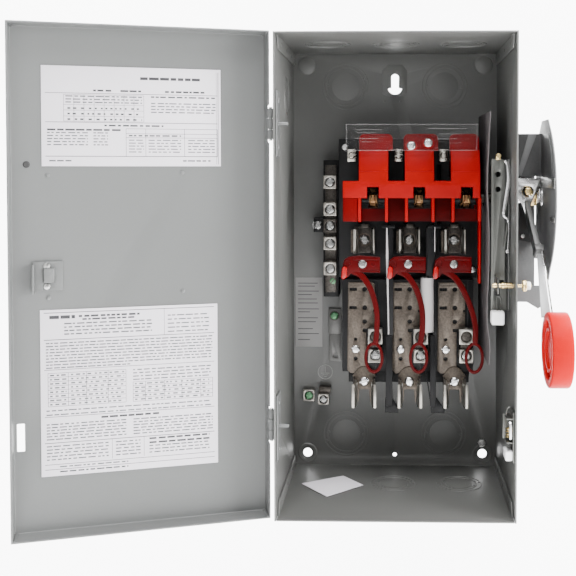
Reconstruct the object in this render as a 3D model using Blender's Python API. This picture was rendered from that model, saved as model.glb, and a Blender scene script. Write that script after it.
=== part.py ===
"""Wall-mounted three-pole fusible disconnect switch, door open, handle down.

Metres, +Z up, the wall behind the box at Y = 0, the door side towards -Y.
Sizes below are in millimetres and are scaled by MM when a mesh is made.
"""
import math

import bmesh
import bpy
from mathutils import Matrix, Vector

for old in list(bpy.data.objects):
    bpy.data.objects.remove(old, do_unlink=True)

MM = 0.001

# Enclosure
BOX_W, BOX_H, BOX_D, STEEL = 206.0, 416.0, 150.0, 1.5
HALF_W, HALF_H = BOX_W / 2, BOX_H / 2
GAP = 0.3
# Door pan, drawn closed and then swung about the hinge line
DOOR_CLEAR, DOOR_LIP, DOOR_OPEN_DEG = 1.2, 20.0, 163.0
HINGE_X, HINGE_Y = -107.0, -134.0
HINGE_ZS = (131.0, -129.0)
KNUCKLE_R, PIN_R, KNUCKLE_HALF = 3.0, 1.5, 13.0
# Poles
POLES = (("a", -29.0), ("b", 13.5), ("c", 56.0))
# Operating shaft, shared by the rotor and the handle
SHAFT_Y, SHAFT_Z = -58.0, 65.0
GRIP_Y, GRIP_Z, GRIP_R = -170.0, -56.0, 31.0
GUARD_R = 77.0
BOLT_Y, BOLT_Z = -128.5, -8.4
LATCH_Y, LATCH_Z = -141.0, -130.0

MATERIALS = {
    "grey_paint": ((0.34, 0.36, 0.34), 0.45, 0.0),
    "paper": ((0.86, 0.86, 0.86), 0.8, 0.0),
    "zinc": ((0.55, 0.55, 0.54), 0.35, 1.0),
    "black_plastic": ((0.02, 0.02, 0.022), 0.45, 0.0),
    "red_plastic": ((0.6, 0.02, 0.02), 0.35, 0.0),
    "clear_plastic": ((0.8, 0.82, 0.83), 0.1, 0.0),
    "copper": ((0.6, 0.32, 0.18), 0.35, 1.0),
    "tinned": ((0.46, 0.42, 0.38), 0.4, 1.0),
    "brass": ((0.65, 0.5, 0.25), 0.3, 1.0),
    "fibre": ((0.45, 0.42, 0.41), 0.7, 0.0),
    "white_plastic": ((0.85, 0.85, 0.85), 0.4, 0.0),
}


def material(key):
    made = bpy.data.materials.get(key)
    if made is None:
        made = bpy.data.materials.new(key)
        made.use_nodes = True
        colour, rough, metal = MATERIALS[key]
        shader = made.node_tree.nodes["Principled BSDF"]
        shader.inputs["Base Color"].default_value = (*colour, 1.0)
        shader.inputs["Roughness"].default_value = rough
        shader.inputs["Metallic"].default_value = metal
        made.diffuse_color = (*colour, 1.0)
    return made


def make(name, bm, mat=None, origin=(0.0, 0.0, 0.0), smooth=False):
    """A mesh object whose origin is at `origin` (mm), from a bmesh drawn in mm about zero."""
    bmesh.ops.recalc_face_normals(bm, faces=bm.faces)
    shift = Matrix.Translation(Vector(origin) * -1)
    bmesh.ops.transform(bm, matrix=Matrix.Scale(MM, 4) @ shift, verts=bm.verts)
    mesh = bpy.data.meshes.new(name)
    bm.to_mesh(mesh)
    bm.free()
    obj = bpy.data.objects.new(name, mesh)
    obj.location = Vector(origin) * MM
    bpy.context.scene.collection.objects.link(obj)
    if mat:
        mesh.materials.append(material(mat))
    else:
        obj.hide_render = True
        obj.display_type = "WIRE"
    if smooth:
        mesh.shade_smooth()
        mesh.set_sharp_from_angle(angle=math.radians(35))
    return obj


def add_box(bm, lo, hi):
    lo, hi = Vector(lo), Vector(hi)
    verts = bmesh.ops.create_cube(bm, size=1.0)["verts"]
    size, centre = hi - lo, (hi + lo) / 2
    for v in verts:
        v.co = Vector(v.co[i] * abs(size[i]) + centre[i] for i in range(3))


def add_cyl(bm, axis, centre, r, length, seg=20, r2=None):
    """A cylinder along axis "x", "y" or "z", its middle at centre."""
    turn = {"z": Matrix(), "x": Matrix.Rotation(math.pi / 2, 4, "Y"), "y": Matrix.Rotation(math.pi / 2, 4, "X")}[axis]
    bmesh.ops.create_cone(bm, cap_ends=True, cap_tris=False, segments=seg, radius1=r, radius2=r if r2 is None else r2,
                          depth=length, matrix=Matrix.Translation(Vector(centre)) @ turn)


def add_prism(bm, axis, outline, lo, hi):
    """An outline of (u, v) points extruded along axis: x -> (y, z), y -> (x, z), z -> (x, y)."""
    place = {"x": lambda u, v, w: (w, u, v), "y": lambda u, v, w: (u, w, v), "z": lambda u, v, w: (u, v, w)}[axis]
    low = [bm.verts.new(place(u, v, lo)) for u, v in outline]
    high = [bm.verts.new(place(u, v, hi)) for u, v in outline]
    bm.faces.new(low)
    bm.faces.new(high[::-1])
    n = len(outline)
    for i in range(n):
        j = (i + 1) % n
        bm.faces.new((low[j], low[i], high[i], high[j]))


def helper(draw):
    """A hidden tool shape, drawn by draw(bm)."""
    bm = bmesh.new()
    draw(bm)
    return make("tool", bm)


def boolean(obj, kind, draw, parent=None):
    tool = helper(draw)
    if parent:
        tool.parent = parent
        tool.matrix_parent_inverse = parent.matrix_world.inverted()
    mod = obj.modifiers.new(kind.lower(), "BOOLEAN")
    mod.operation = kind
    mod.solver = "EXACT"
    mod.object = tool
    return obj


def solid(name, mat, shapes, cuts=(), origin=(0, 0, 0), smooth=False):
    """One body: the first shape, the others joined to it, then the cuts taken out."""
    bm = bmesh.new()
    shapes[0](bm)
    obj = make(name, bm, mat, origin, smooth)
    for draw in shapes[1:]:
        boolean(obj, "UNION", draw)
    for draw in cuts:
        boolean(obj, "DIFFERENCE", draw)
    return obj


def box(*corners):
    return lambda bm: add_box(bm, corners[0], corners[1])


def cyl(axis, centre, r, length, seg=20, r2=None):
    return lambda bm: add_cyl(bm, axis, centre, r, length, seg, r2)


def prism(axis, outline, lo, hi):
    return lambda bm: add_prism(bm, axis, outline, lo, hi)


def arc(cu, cv, r, a0, a1, n):
    return [(cu + r * math.cos(math.radians(a0 + (a1 - a0) * i / n)), cv + r * math.sin(math.radians(a0 + (a1 - a0) * i / n)))
            for i in range(n + 1)]


def ribbon(points, width, steps=5):
    """The outline of a band of this width along a smooth curve through the points."""
    dense = []
    pts = [points[0], *points, points[-1]]
    for i in range(1, len(pts) - 2):
        for s in range(steps):
            t = s / steps
            p = []
            for k in (0, 1):
                a, b, c, d = (pts[i + o][k] for o in (-1, 0, 1, 2))
                p.append(0.5 * (2 * b + (c - a) * t + (2 * a - 5 * b + 4 * c - d) * t * t + (3 * b - 3 * c + d - a) * t ** 3))
            dense.append(tuple(p))
    dense.append(points[-1])
    left, right = [], []
    for i, (x, y) in enumerate(dense):
        ax, ay = dense[max(i - 1, 0)]
        bx, by = dense[min(i + 1, len(dense) - 1)]
        dx, dy = bx - ax, by - ay
        size = math.hypot(dx, dy)
        nx, ny = -dy / size * width / 2, dx / size * width / 2
        left.append((x + nx, y + ny))
        right.append((x - nx, y - ny))
    return left + right[::-1]


# --- Enclosure: the back and both sides are one folded sheet -----------------
wrap = [(-HALF_W, -BOX_D), (-HALF_W, 0), (HALF_W, 0), (HALF_W, -BOX_D), (HALF_W - STEEL, -BOX_D),
        (HALF_W - STEEL, -STEEL), (-HALF_W + STEEL, -STEEL), (-HALF_W + STEEL, -BOX_D)]
keyhole = ([(-3.65, 173.0)] + [(-3.65, 185.0)] + arc(0, 183.2, 3.65, 150, 30, 5) + [(3.65, 185.0), (3.65, 173.0)]
           + arc(0, 173.5, 7.05, -10, -170, 10))
wall_cuts = [prism("y", keyhole, -5, 5)]
for sx in (-1, 1):
    wall_cuts.append(cyl("y", (sx * 88, 0, -194.5), 4.5, 10, 16))
for hz in HINGE_ZS:
    wall_cuts.append(box((-HALF_W - 2, HINGE_Y - 2, hz - 5), (-HALF_W + 3, HINGE_Y + 2, hz + 5)))
wall_cuts.append(cyl("x", (HALF_W, SHAFT_Y, SHAFT_Z), 7.0, 10, 20))
wall_cuts.append(cyl("x", (HALF_W, BOLT_Y, BOLT_Z), 2.7, 10, 14))
solid("enclosure_body", "grey_paint", [prism("z", wrap, -HALF_H, HALF_H)], wall_cuts)

for side, sz in (("top", 1), ("bottom", -1)):
    x1 = HALF_W - STEEL - GAP
    face, inner, lip = sz * HALF_H, sz * (HALF_H - STEEL), sz * (HALF_H - 13)
    z0, z1 = sorted((face, inner))
    l0, l1 = sorted((face, lip))
    solid(f"{side}_end_wall", "grey_paint",
          [box((-x1, -BOX_D, z0), (x1, -STEEL - GAP, z1)),
           box((-x1, -BOX_D + 8, l0), (-x1 + STEEL, -STEEL - GAP, l1)),
           box((x1 - STEEL, -BOX_D + 8, l0), (x1, -STEEL - GAP, l1))])

# --- Door pan, drawn closed ---------------------------------------------------
hinge = bpy.data.objects.new("door_hinge_line", None)
hinge.location = Vector((HINGE_X, HINGE_Y, 0)) * MM
bpy.context.scene.collection.objects.link(hinge)
bpy.context.view_layer.update()


def on_door(obj):
    """Hangs a piece drawn in the closed place on the hinge line, with its tools."""
    tools = [m.object for m in obj.modifiers if m.type == "BOOLEAN"]
    for item in [obj, *tools]:
        item.parent = hinge
        item.matrix_parent_inverse = Matrix.Translation(Vector((HINGE_X, HINGE_Y, 0)) * -MM)
    return obj


front = -(BOX_D + 0.8 + STEEL)
back_of_lip = front + DOOR_LIP
dx1, dz1 = HALF_W + DOOR_CLEAR + STEEL, HALF_H + DOOR_CLEAR + STEEL
dx0, dz0 = dx1 - STEEL, dz1 - STEEL
shapes = [box((-dx1, front, -dz1), (dx1, back_of_lip, dz1))]
cuts = [box((-dx0, front + STEEL, -dz0), (dx0, back_of_lip + 5, dz0)),
        box((95.7, front - 3, -141), (101.7, front + STEEL + 3, -118))]
door = solid("door_panel", "grey_paint", shapes, cuts)
for hz in HINGE_ZS:
    boolean(door, "DIFFERENCE", box((-dx1 - 2, HINGE_Y - 5, hz - KNUCKLE_HALF - 3), (-dx0 + 2, back_of_lip + 5, hz + KNUCKLE_HALF + 3)))
for hz in HINGE_ZS:
    for sz in (-1, 1):
        z0, z1 = sorted((hz + sz * 5.0, hz + sz * KNUCKLE_HALF))
        boolean(door, "UNION", box((-dx1, HINGE_Y - 8, z0), (-dx0, HINGE_Y, z1)))
        boolean(door, "UNION", cyl("z", (HINGE_X, HINGE_Y, (z0 + z1) / 2), KNUCKLE_R, z1 - z0, 20))
    boolean(door, "DIFFERENCE", cyl("z", (HINGE_X, HINGE_Y, hz), PIN_R + 0.35, 2 * KNUCKLE_HALF + 5, 16))
on_door(door)
inner_face = front + STEEL + GAP


def door_x(x_open, y_open=-160.0):
    """Closed x of a spot that is at x_open when the door stands open."""
    c = math.cos(math.radians(DOOR_OPEN_DEG))
    s = math.sin(math.radians(DOOR_OPEN_DEG))
    r = (front + STEEL) - HINGE_Y
    return HINGE_X + (x_open - HINGE_X - s * r) / c


UPPER_LABEL = (door_x(-291.0), door_x(-151.0), 94.6, 177.6)
LOWER_LABEL = (door_x(-293.5), door_x(-154.5), -163.5, -24.4)
for name, (a, b, z0, z1) in (("upper_label", UPPER_LABEL), ("lower_label", LOWER_LABEL)):
    a, b = sorted((a, b))
    on_door(solid(name, "paper", [box((a, inner_face, z0), (b, inner_face + 0.4, z1))]))
cx0, cx1 = sorted((door_x(-298.5), door_x(-276.0)))
on_door(solid("door_catch_bracket", "grey_paint",
              [box((cx0, inner_face, -8), (cx1, inner_face + 1.5, 16)),
               box((cx1 - 1.5, inner_face, -10), (cx1, inner_face + 9, 14)),
               box((cx0 + 6, inner_face, -1), (cx1 - 8, inner_face + 4.5, 10))],
              [cyl("y", (cx1 - 11, inner_face, 12.5), 1.9, 30, 12), cyl("y", (cx1 - 11, inner_face, -4.5), 1.9, 30, 12)]))
hinge.rotation_euler = (0, 0, -math.radians(DOOR_OPEN_DEG))

for name, hz in zip(("upper", "lower"), HINGE_ZS):
    wall = -HALF_W + STEEL + GAP
    solid(f"hinge_leaf_{name}", "zinc",
          [box((wall, -148, hz - 28), (wall + 1.5, -127, hz + 28)),
           box((HINGE_X, HINGE_Y - 1.25, hz - 4.6), (wall + 1, HINGE_Y + 1.25, hz + 4.6)),
           cyl("z", (HINGE_X, HINGE_Y, hz), KNUCKLE_R, 9.2, 20),
           cyl("x", (wall + 5, -138, hz), 1.6, 10, 12)],
          [cyl("z", (HINGE_X, HINGE_Y, hz), PIN_R + 0.35, 20, 16)])
    solid(f"hinge_pin_{name}", "zinc", [cyl("z", (HINGE_X, HINGE_Y, hz), PIN_R, 2 * KNUCKLE_HALF + 3, 16)])

# --- Switch and fuse bases ----------------------------------------------------
BASE_F, LOAD_F = -44.0, -55.4
SHEET_X = 83.0
base_cuts = []
for x in (-33.0, 10.0, 42.0):
    base_cuts.append(box((x - 1.5, BASE_F - 3, 40), (x + 1.5, BASE_F + 10, 96)))
solid("switch_base", "black_plastic",
      [box((-54, BASE_F, -12), (80, -STEEL - GAP, 121))], base_cuts)
solid("load_base", "black_plastic",
      [box((-50, LOAD_F, -100), (74, -STEEL - GAP, -12.4)),
       box((-44, LOAD_F, -110), (70, -STEEL - GAP, -99))])

# --- Red arc shield: a shell with a window for each pole ----------------------
RED_F, RED_IN = -92.0, -89.8
SKIRT = -84.5
shield_shapes = [prism("x", [(RED_F, 66), (RED_F, 90), (RED_IN, 90), (RED_IN, 67.8), (SKIRT + 1.8, 67.8), (SKIRT + 1.8, 45), (SKIRT, 45), (SKIRT, 66)], -47.4, 76.8),
                 prism("x", [(BASE_F - GAP, 58), (BASE_F - GAP, 92), (RED_IN - 0.5, 92), (RED_IN - 0.5, 46), (-80, 46)], -47.4, -45.4),
                 prism("x", [(BASE_F - GAP, 58), (BASE_F - GAP, 92), (RED_IN - 0.5, 92), (RED_IN - 0.5, 46), (-80, 46)], 74.8, 76.8)]
for x0, x1 in ((-33.2, -2.0), (8.1, 39.3), (49.9, 76.1)):
    shield_shapes.append(prism("x", [(RED_F, 89), (-88, 108), (-79, 124), (-74, 124), (-84, 107), (-87.5, 89)], x0, x1))
for x in (-32.4, -7.9, 10.2, 34.2, 52.3):
    shield_shapes.append(box((x - 1.4, RED_F + 0.2, 44.5), (x + 1.4, SKIRT + 1, 67)))
shield_cuts = []
for x in (-20.2, 21.8, 64.8):
    shield_cuts.append(box((x - 9.6, RED_F - 5, 55.5), (x + 9.6, SKIRT + 5, 66)))
    shield_cuts.append(box((x - 5.2, RED_F - 5, 65.5), (x + 5.2, SKIRT + 5, 76)))
shield_cuts.append(cyl("x", (76, SHAFT_Y, SHAFT_Z), 7.0, 8, 20))
solid("arc_shield", "red_plastic", shield_shapes, shield_cuts)
solid("line_shield", "clear_plastic",
      [box((-44.4, -90.8, 109), (73.6, -89.8, 132.6)), box((-44.4, -90, 112), (-43.2, BASE_F - GAP, 120)),
       box((43.4, -90, 112), (44.6, BASE_F - GAP, 120))])

solid("rotor_shaft", "black_plastic", [cyl("x", (17.75, SHAFT_Y, SHAFT_Z), 6.0, 124.5, 16)], origin=(0, SHAFT_Y, SHAFT_Z), smooth=True)
for (pole, _), x in zip(POLES, (-20.2, 21.8, 64.8)):
    solid(f"contact_blade_{pole}", "copper",
          [cyl("x", (x, SHAFT_Y, SHAFT_Z), 9.5, 8, 20), box((x - 3.5, -86, 60), (x + 3.5, SHAFT_Y - 7, 70))],
          [cyl("x", (x, SHAFT_Y, SHAFT_Z), 6.4, 20, 20)], origin=(0, SHAFT_Y, SHAFT_Z))
for (pole, _), x in zip(POLES, (-40.7, 3.4, 45.6)):
    solid(f"line_lug_{pole}", "tinned",
          [box((x - 4.2, BASE_F - 14, 99), (x + 4.2, BASE_F - GAP, 111)), cyl("y", (x, BASE_F - 14, 105), 3.4, 4, 14)],
          [cyl("z", (x, BASE_F - 7, 105), 2.6, 30, 12), box((x - 4, BASE_F - 17, 104.5), (x + 4, BASE_F - 15.2, 105.5))])

# --- Fuse clips, plates, lugs and pullers -------------------------------------
for pole, x in POLES:
    y0 = BASE_F - GAP
    solid(f"fuse_clip_upper_{pole}", "tinned",
          [box((x - 10, y0 - 2, 12), (x + 10, y0, 37)),
           box((x - 8.6, y0 - 23, 13), (x - 6.6, y0 - 1, 36)), box((x + 6.6, y0 - 23, 13), (x + 8.6, y0 - 1, 36)),
           cyl("y", (x, y0 - 4, 25.5), 4.6, 5, 16)],
          [box((x - 5, y0 - 8, 25), (x + 5, y0 - 5.5, 26))])
    y1 = LOAD_F - GAP
    solid(f"load_plate_{pole}", "tinned",
          [prism("y", [(x - 15, -15), (x - 15, -64), (x - 13, -68), (x - 13, -99), (x + 10, -99), (x + 10, -15)], y1 - 2, y1)],
          [box((x - 12.5, y1 - 5, z - 1), (x - 5.5, y1 + 5, z + 1)) for z in (-21.5, -38.5)]
          + [cyl("y", (x + 1, y1, z), 1.7, 12, 12) for z in (-21.5, -38.5)])
    solid(f"fuse_clip_lower_{pole}", "tinned",
          [box((x - 11.5, y1 - 2, -107), (x + 11.5, y1, -99.4)), box((x - 6, y1 - 2, -131), (x + 6, y1, -106)),
           box((x - 9.2, y1 - 23, -129), (x - 7.2, y1, -107)), box((x + 7.2, y1 - 23, -129), (x + 9.2, y1, -107)),
           box((x - 9.2, y1 - 2, -129), (x + 9.2, y1, -106)), cyl("y", (x, y1 - 4, -109), 4.6, 5, 16)],
          [box((x - 5, y1 - 8, -109.5), (x + 5, y1 - 5.5, -108.5))])
    lx = x + 10.5
    y2 = y1 - 2 - GAP
    solid(f"load_lug_{pole}", "tinned",
          [box((lx - 6.6, y2 - 11, -89), (lx + 6.6, y2, -57)),
           cyl("y", (lx - 1, y2 - 12, -64), 5.0, 5, 16), cyl("y", (lx - 1, y2 - 12, -81.5), 5.0, 5, 16)],
          [box((lx - 7, y2 - 16, -64.6), (lx + 7, y2 - 12.9, -63.4)), box((lx - 7, y2 - 16, -82.1), (lx + 7, y2 - 12.9, -80.9)),
           cyl("z", (lx - 1, y2 - 5.5, -73), 3.2, 60, 12)])

PULLER_Y0, PULLER_Y1, PULLER_PIVOT_Z = -79.5, -76.7, 7.0
for (pole, _), x, loop_x in zip(POLES, (-29.5, 12.5, 54.5), (-19.5, 21.8, 73.0)):
    strap = [(x - 13.5, 0), (x - 1.0, -6.2), (x + 7.5, -19), (x + 12.5, -36.4), (x + 13.0, -56), (loop_x + 2.5, -68)]
    if pole == "c":
        strap = [(x - 10.5, 0), (x + 2, -10), (x + 10.5, -23.4), (x + 17.5, -40), (x + 20.5, -56), (loop_x + 1, -68)]
    solid(f"fuse_puller_{pole}", "red_plastic",
          [prism("y", [(x - 19.5, -8), (x - 19.5, 8), (x - 14, 11), (x + 15, 11), (x + 15, -2), (x - 12, -2), (x - 14, -8)], PULLER_Y0, PULLER_Y1),
           prism("y", ribbon(strap, 4.8), PULLER_Y0 + 0.2, PULLER_Y1 - 0.2),
           lambda bm, c=loop_x: add_prism(bm, "y", [(c + 8.4 * math.cos(a), -82 + 14.5 * math.sin(a)) for a in (2 * math.pi * i / 28 for i in range(28))], PULLER_Y0 + 0.3, PULLER_Y1 - 0.3)],
          [lambda bm, c=loop_x: add_prism(bm, "y", [(c + 5.8 * math.cos(a), -82 + 11.9 * math.sin(a)) for a in (2 * math.pi * i / 28 for i in range(28))], PULLER_Y0 - 3, PULLER_Y1 + 3)],
          origin=(0, PULLER_Y1, PULLER_PIVOT_Z))

for number, x in (("left", -6.2), ("right", 36.2)):
    solid(f"phase_barrier_{number}", "black_plastic",
          [box((x - 1.2, -73, -132), (x + 1.2, LOAD_F - GAP, 40)), box((x - 3.0, -74.2, -128), (x + 3.0, -72.2, -62)), box((x - 1.2, -73, -11.5), (x + 1.2, BASE_F - GAP, 40)),
           box((x - 5.5, -73, 37.6), (x + 5.5, -69, 40)), box((x - 3, -72, -132), (x + 3, LOAD_F - GAP, -126))])
solid("curved_sheet", "fibre",
      [prism("z", arc(29.2, -66, 5.4, 20, 340, 14) + arc(29.2, -66, 4.6, 340, 20, 14), -56, -6)])
solid("side_sheet", "fibre",
      [prism("x", [(-6, 140), (-70, 143.6), (-100, 138), (-104, 60), (-100, 0), (-102, -60), (-98, -83), (-6, -83)], SHEET_X, SHEET_X + 0.8)],
      [cyl("x", (SHEET_X, SHAFT_Y, SHAFT_Z), 8.0, 12, 20)])

# --- Neutral and ground -------------------------------------------------------
solid("neutral_base", "black_plastic",
      [box((-70, -26, -33), (-54.8, -STEEL - GAP, 101)), box((-80, -22, 30), (-69, -STEEL - GAP, 44)), cyl("y", (-75.5, -23, 37), 3.8, 5, 14)])
lug_zs = (79.6, 53.5, 37.5, 20.5, -3.8)
solid("neutral_bar", "tinned",
      [box((-68, -29, -28), (-57, -26.3, 96))] + [box((-68.5, -40, z - 6), (-56.8, -28, z + 6)) for z in lug_zs]
      + [cyl("y", (-62.6, -41, z), 3.6, 4, 12) for z in lug_zs],
      [cyl("z", (-62.6, -33.5, 30), 2.6, 200, 12)])
solid("ground_strap", "zinc",
      [box((-66.5, -STEEL - GAP - 2, -101.5), (-53.8, -STEEL - GAP, -48)), cyl("y", (-60.1, -6, -55), 4.3, 5, 14)],
      [cyl("y", (-60, -2, -90), 2.2, 12, 12)])
solid("ground_lug", "tinned", [box((-79, -16, -145), (-62.5, -STEEL - GAP, -127)), cyl("y", (-70.5, -17, -136), 4.6, 5, 14)],
      [cyl("z", (-70.5, -8.5, -136), 3.2, 40, 12), box((-77, -21, -136.6), (-64, -18.4, -135.4))])
solid("ground_terminal", "tinned", [box((-92, -8, -141), (-80.5, -STEEL - GAP, -129)), cyl("y", (-86, -9, -135), 4.2, 5, 14)],
      [box((-91, -13, -135.6), (-81, -10.4, -134.4))])

# --- Interlock on the inside of the right wall --------------------------------
IN = HALF_W - STEEL - GAP
solid("mechanism_bracket", "zinc",
      [box((84.8, -110, -33), (IN, -108.5, 101)), box((IN - 1.5, -110, -33), (IN, -70, 101)),
       box((87.6, -134, -15), (89.1, -109, -2))],
      [cyl("y", (90.5, -109, z), 2.9, 12, 14) for z in (88.0, 74.5)] + [cyl("x", (88, BOLT_Y, BOLT_Z), 2.7, 12, 14)])
solid("interlock_lever", "zinc",
      [prism("y", ribbon([(95.5, 99), (98.6, 94), (99.0, 85.5), (97.2, 74), (95.2, 63), (94.2, 53.5), (98.6, 48.4), (97.6, 37), (96.2, 25.5)], 2.6, 4), -115.5, -112.2)],
      origin=(95.5, -114, 99))
solid("interlock_bolt", "brass",
      [cyl("x", (100, BOLT_Y, BOLT_Z), 2.2, 33.6, 14), cyl("x", (92, BOLT_Y, BOLT_Z), 3.2, 3.6, 14), cyl("x", (113.5, BOLT_Y, BOLT_Z), 3.3, 6.5, 6)],
      origin=(100, BOLT_Y, BOLT_Z), smooth=True)
solid("bolt_spring", "brass", [cyl("x", (96.6, BOLT_Y, BOLT_Z), 3.8, 4.8, 16)], [cyl("x", (96.6, BOLT_Y, BOLT_Z), 2.6, 20, 16)], origin=(100, BOLT_Y, BOLT_Z))
solid("interlock_slider", "white_plastic",
      [box((84.0, -123, -44), (95.5, -111, -32)), box((88.6, -117.5, -32.5), (90.4, -114, -20))], origin=(90, -117, -38))

# --- Operating handle outside the right wall ----------------------------------
OUT = HALF_W + GAP
solid("handle_housing", "grey_paint",
      [box((OUT, -127, -28), (OUT + 1.5, -15, 125)), box((OUT, -62.5, 85.5), (136.5, -61, 125)),
       box((OUT, -62.5, 123.5), (136.5, -20, 125)), box((OUT, -90, -28), (118, -20, -26.5))],
      [cyl("x", (OUT, SHAFT_Y, SHAFT_Z), 7.0, 10, 20), cyl("x", (OUT, BOLT_Y, BOLT_Z), 4.2, 10, 14)])
guard = arc(SHAFT_Y, SHAFT_Z, GUARD_R, 105, 233, 22) + [(-95, -8), (-50, -8), (-24, 20), (-24, 118), (-40, 134)]
solid("handle_guard", "grey_paint", [prism("x", guard, 136.8, 138.3)], [cyl("x", (137, SHAFT_Y, SHAFT_Z), 7.5, 12, 20)])
solid("handle_shaft", "zinc",
      [cyl("x", (110.1, SHAFT_Y, SHAFT_Z), 5.0, 59.6, 20),
       box((106.5, -66, 75.5), (135.5, -50, 80.5)), box((106.5, -65, SHAFT_Z), (108.5, -51, 78)), box((133.5, -65, SHAFT_Z), (135.5, -51, 78))],
      origin=(0, SHAFT_Y, SHAFT_Z), smooth=False)
solid("pivot_nut", "brass", [cyl("x", (129, SHAFT_Y, SHAFT_Z), 8.0, 6, 6)], [cyl("x", (129, SHAFT_Y, SHAFT_Z), 5.3, 20, 20)], origin=(0, SHAFT_Y, SHAFT_Z))
ux, uz = GRIP_Y - SHAFT_Y, GRIP_Z - SHAFT_Z
reach = math.hypot(ux, uz)
ux, uz = ux / reach, uz / reach


def along(s, w):
    """(y, z) at s along the arm from the shaft and w to its side."""
    return SHAFT_Y + ux * s - uz * w, SHAFT_Z + uz * s + ux * w


solid("handle_arm", "zinc",
      [cyl("x", (122, SHAFT_Y, SHAFT_Z), 9.5, 4, 24), prism("x", [along(0, -8), along(0, 8), along(60, 9), along(150, 7), along(150, -7), along(60, -9)], 120, 124),
       cyl("x", (122, GRIP_Y, GRIP_Z), 17, 4, 24)],
      [cyl("x", (122, SHAFT_Y, SHAFT_Z), 5.3, 12, 20)], origin=(0, SHAFT_Y, SHAFT_Z))
solid("handle_grip", "red_plastic",
      [lambda bm: add_prism(bm, "x", arc(GRIP_Y, GRIP_Z, GRIP_R - 3, 0, 348, 29), 124.3, 141.5),
       lambda bm: add_prism(bm, "x", arc(GRIP_Y, GRIP_Z, GRIP_R, 0, 348, 29), 127.3, 138.5)],
      [cyl("x", (142.0, GRIP_Y, GRIP_Z), 20, 3, 28)], origin=(0, SHAFT_Y, SHAFT_Z), smooth=True)

# --- Door latch inside the right wall: a tongue that slides out through the door's slot
solid("latch_bracket", "zinc",
      [box((IN - 1.5, -148, -157), (IN, -128, -114)), box((94.5, -147, -120.5), (IN, -129, -119)), box((94.5, -147, -140.8), (IN, -129, -139.3)),
       box((93.0, -131, -140.8), (IN - 0.5, -129.5, -119))])
solid("latch_tongue", "zinc", [box((96.8, -148, LATCH_Z - 8.5), (98.8, -134, LATCH_Z + 8.5))],
      [cyl("x", (97, -143.5, LATCH_Z), 2.6, 10, 14)], origin=(97.8, -141, LATCH_Z))

# --- Folded leaflet lying on the floor of the box ------------------------------
solid("instruction_leaflet", "paper",
      [prism("z", [(-88, -62), (-50, -40), (-30, -66), (-62, -96)], -206.2, -204.6)])
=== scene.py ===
import math
import random

import bmesh
import bpy
from mathutils import Matrix, Vector


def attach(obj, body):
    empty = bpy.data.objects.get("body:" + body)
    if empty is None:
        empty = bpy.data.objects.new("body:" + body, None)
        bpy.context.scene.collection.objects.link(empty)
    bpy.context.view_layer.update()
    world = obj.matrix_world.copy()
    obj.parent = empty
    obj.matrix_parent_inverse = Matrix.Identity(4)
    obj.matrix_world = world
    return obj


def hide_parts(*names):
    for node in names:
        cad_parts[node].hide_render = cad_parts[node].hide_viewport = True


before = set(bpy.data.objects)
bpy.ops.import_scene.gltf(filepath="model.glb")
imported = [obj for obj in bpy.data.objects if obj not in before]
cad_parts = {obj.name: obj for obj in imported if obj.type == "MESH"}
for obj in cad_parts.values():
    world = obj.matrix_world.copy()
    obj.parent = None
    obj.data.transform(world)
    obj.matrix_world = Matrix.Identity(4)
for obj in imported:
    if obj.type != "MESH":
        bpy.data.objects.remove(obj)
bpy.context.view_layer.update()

MM = 0.001
RNG = random.Random(7)

# ------------------------------------------------------------------ camera and studio
cam_data = bpy.data.cameras.new("camera")
cam = bpy.data.objects.new("camera", cam_data)
bpy.context.scene.collection.objects.link(cam)
cam_data.lens = 57.7
cam_data.sensor_width = 36.0
cam_data.clip_start, cam_data.clip_end = 0.01, 60.0
cam_data.shift_x, cam_data.shift_y = -0.1425, -0.1605
cam.location = (-0.002, -0.926, 0.093)
cam.rotation_euler = (math.radians(90 - 1.7), 0, math.radians(1.42))
bpy.context.scene.camera = cam


def light(name, kind, loc, target, power, size, colour=(1, 1, 1), size_y=None):
    data = bpy.data.lights.new(name, kind)
    data.energy, data.color = power, colour
    data.shape = "RECTANGLE" if size_y else "SQUARE"
    data.size = size
    if size_y:
        data.size_y = size_y
    obj = bpy.data.objects.new(name, data)
    obj.location = loc
    obj.rotation_euler = (Vector(target) - Vector(loc)).to_track_quat("-Z", "Y").to_euler()
    bpy.context.scene.collection.objects.link(obj)
    return obj


light("top_key", "AREA", (0.0, -0.80, 1.45), (0, -0.05, -0.05), 60, 0.9)
light("right_key", "AREA", (1.75, -0.98, 0.35), (-0.1, -0.15, 0), 110, 0.9)
light("front_fill", "AREA", (-0.5, -2.5, 0.7), (0, 0, 0), 16, 1.6)
light("backdrop_left", "AREA", (-1.5, 0.45, 1.5), (-0.1, 1.1, -0.2), 300, 1.2)
light("backdrop_right", "AREA", (1.5, 0.45, 1.5), (0.1, 1.1, -0.2), 300, 1.2)
world = bpy.data.worlds.new("studio")
bpy.context.scene.world = world
world.use_nodes = True
world.node_tree.nodes["Background"].inputs["Color"].default_value = (1, 1, 1, 1)
world.node_tree.nodes["Background"].inputs["Strength"].default_value = 0.22


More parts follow.
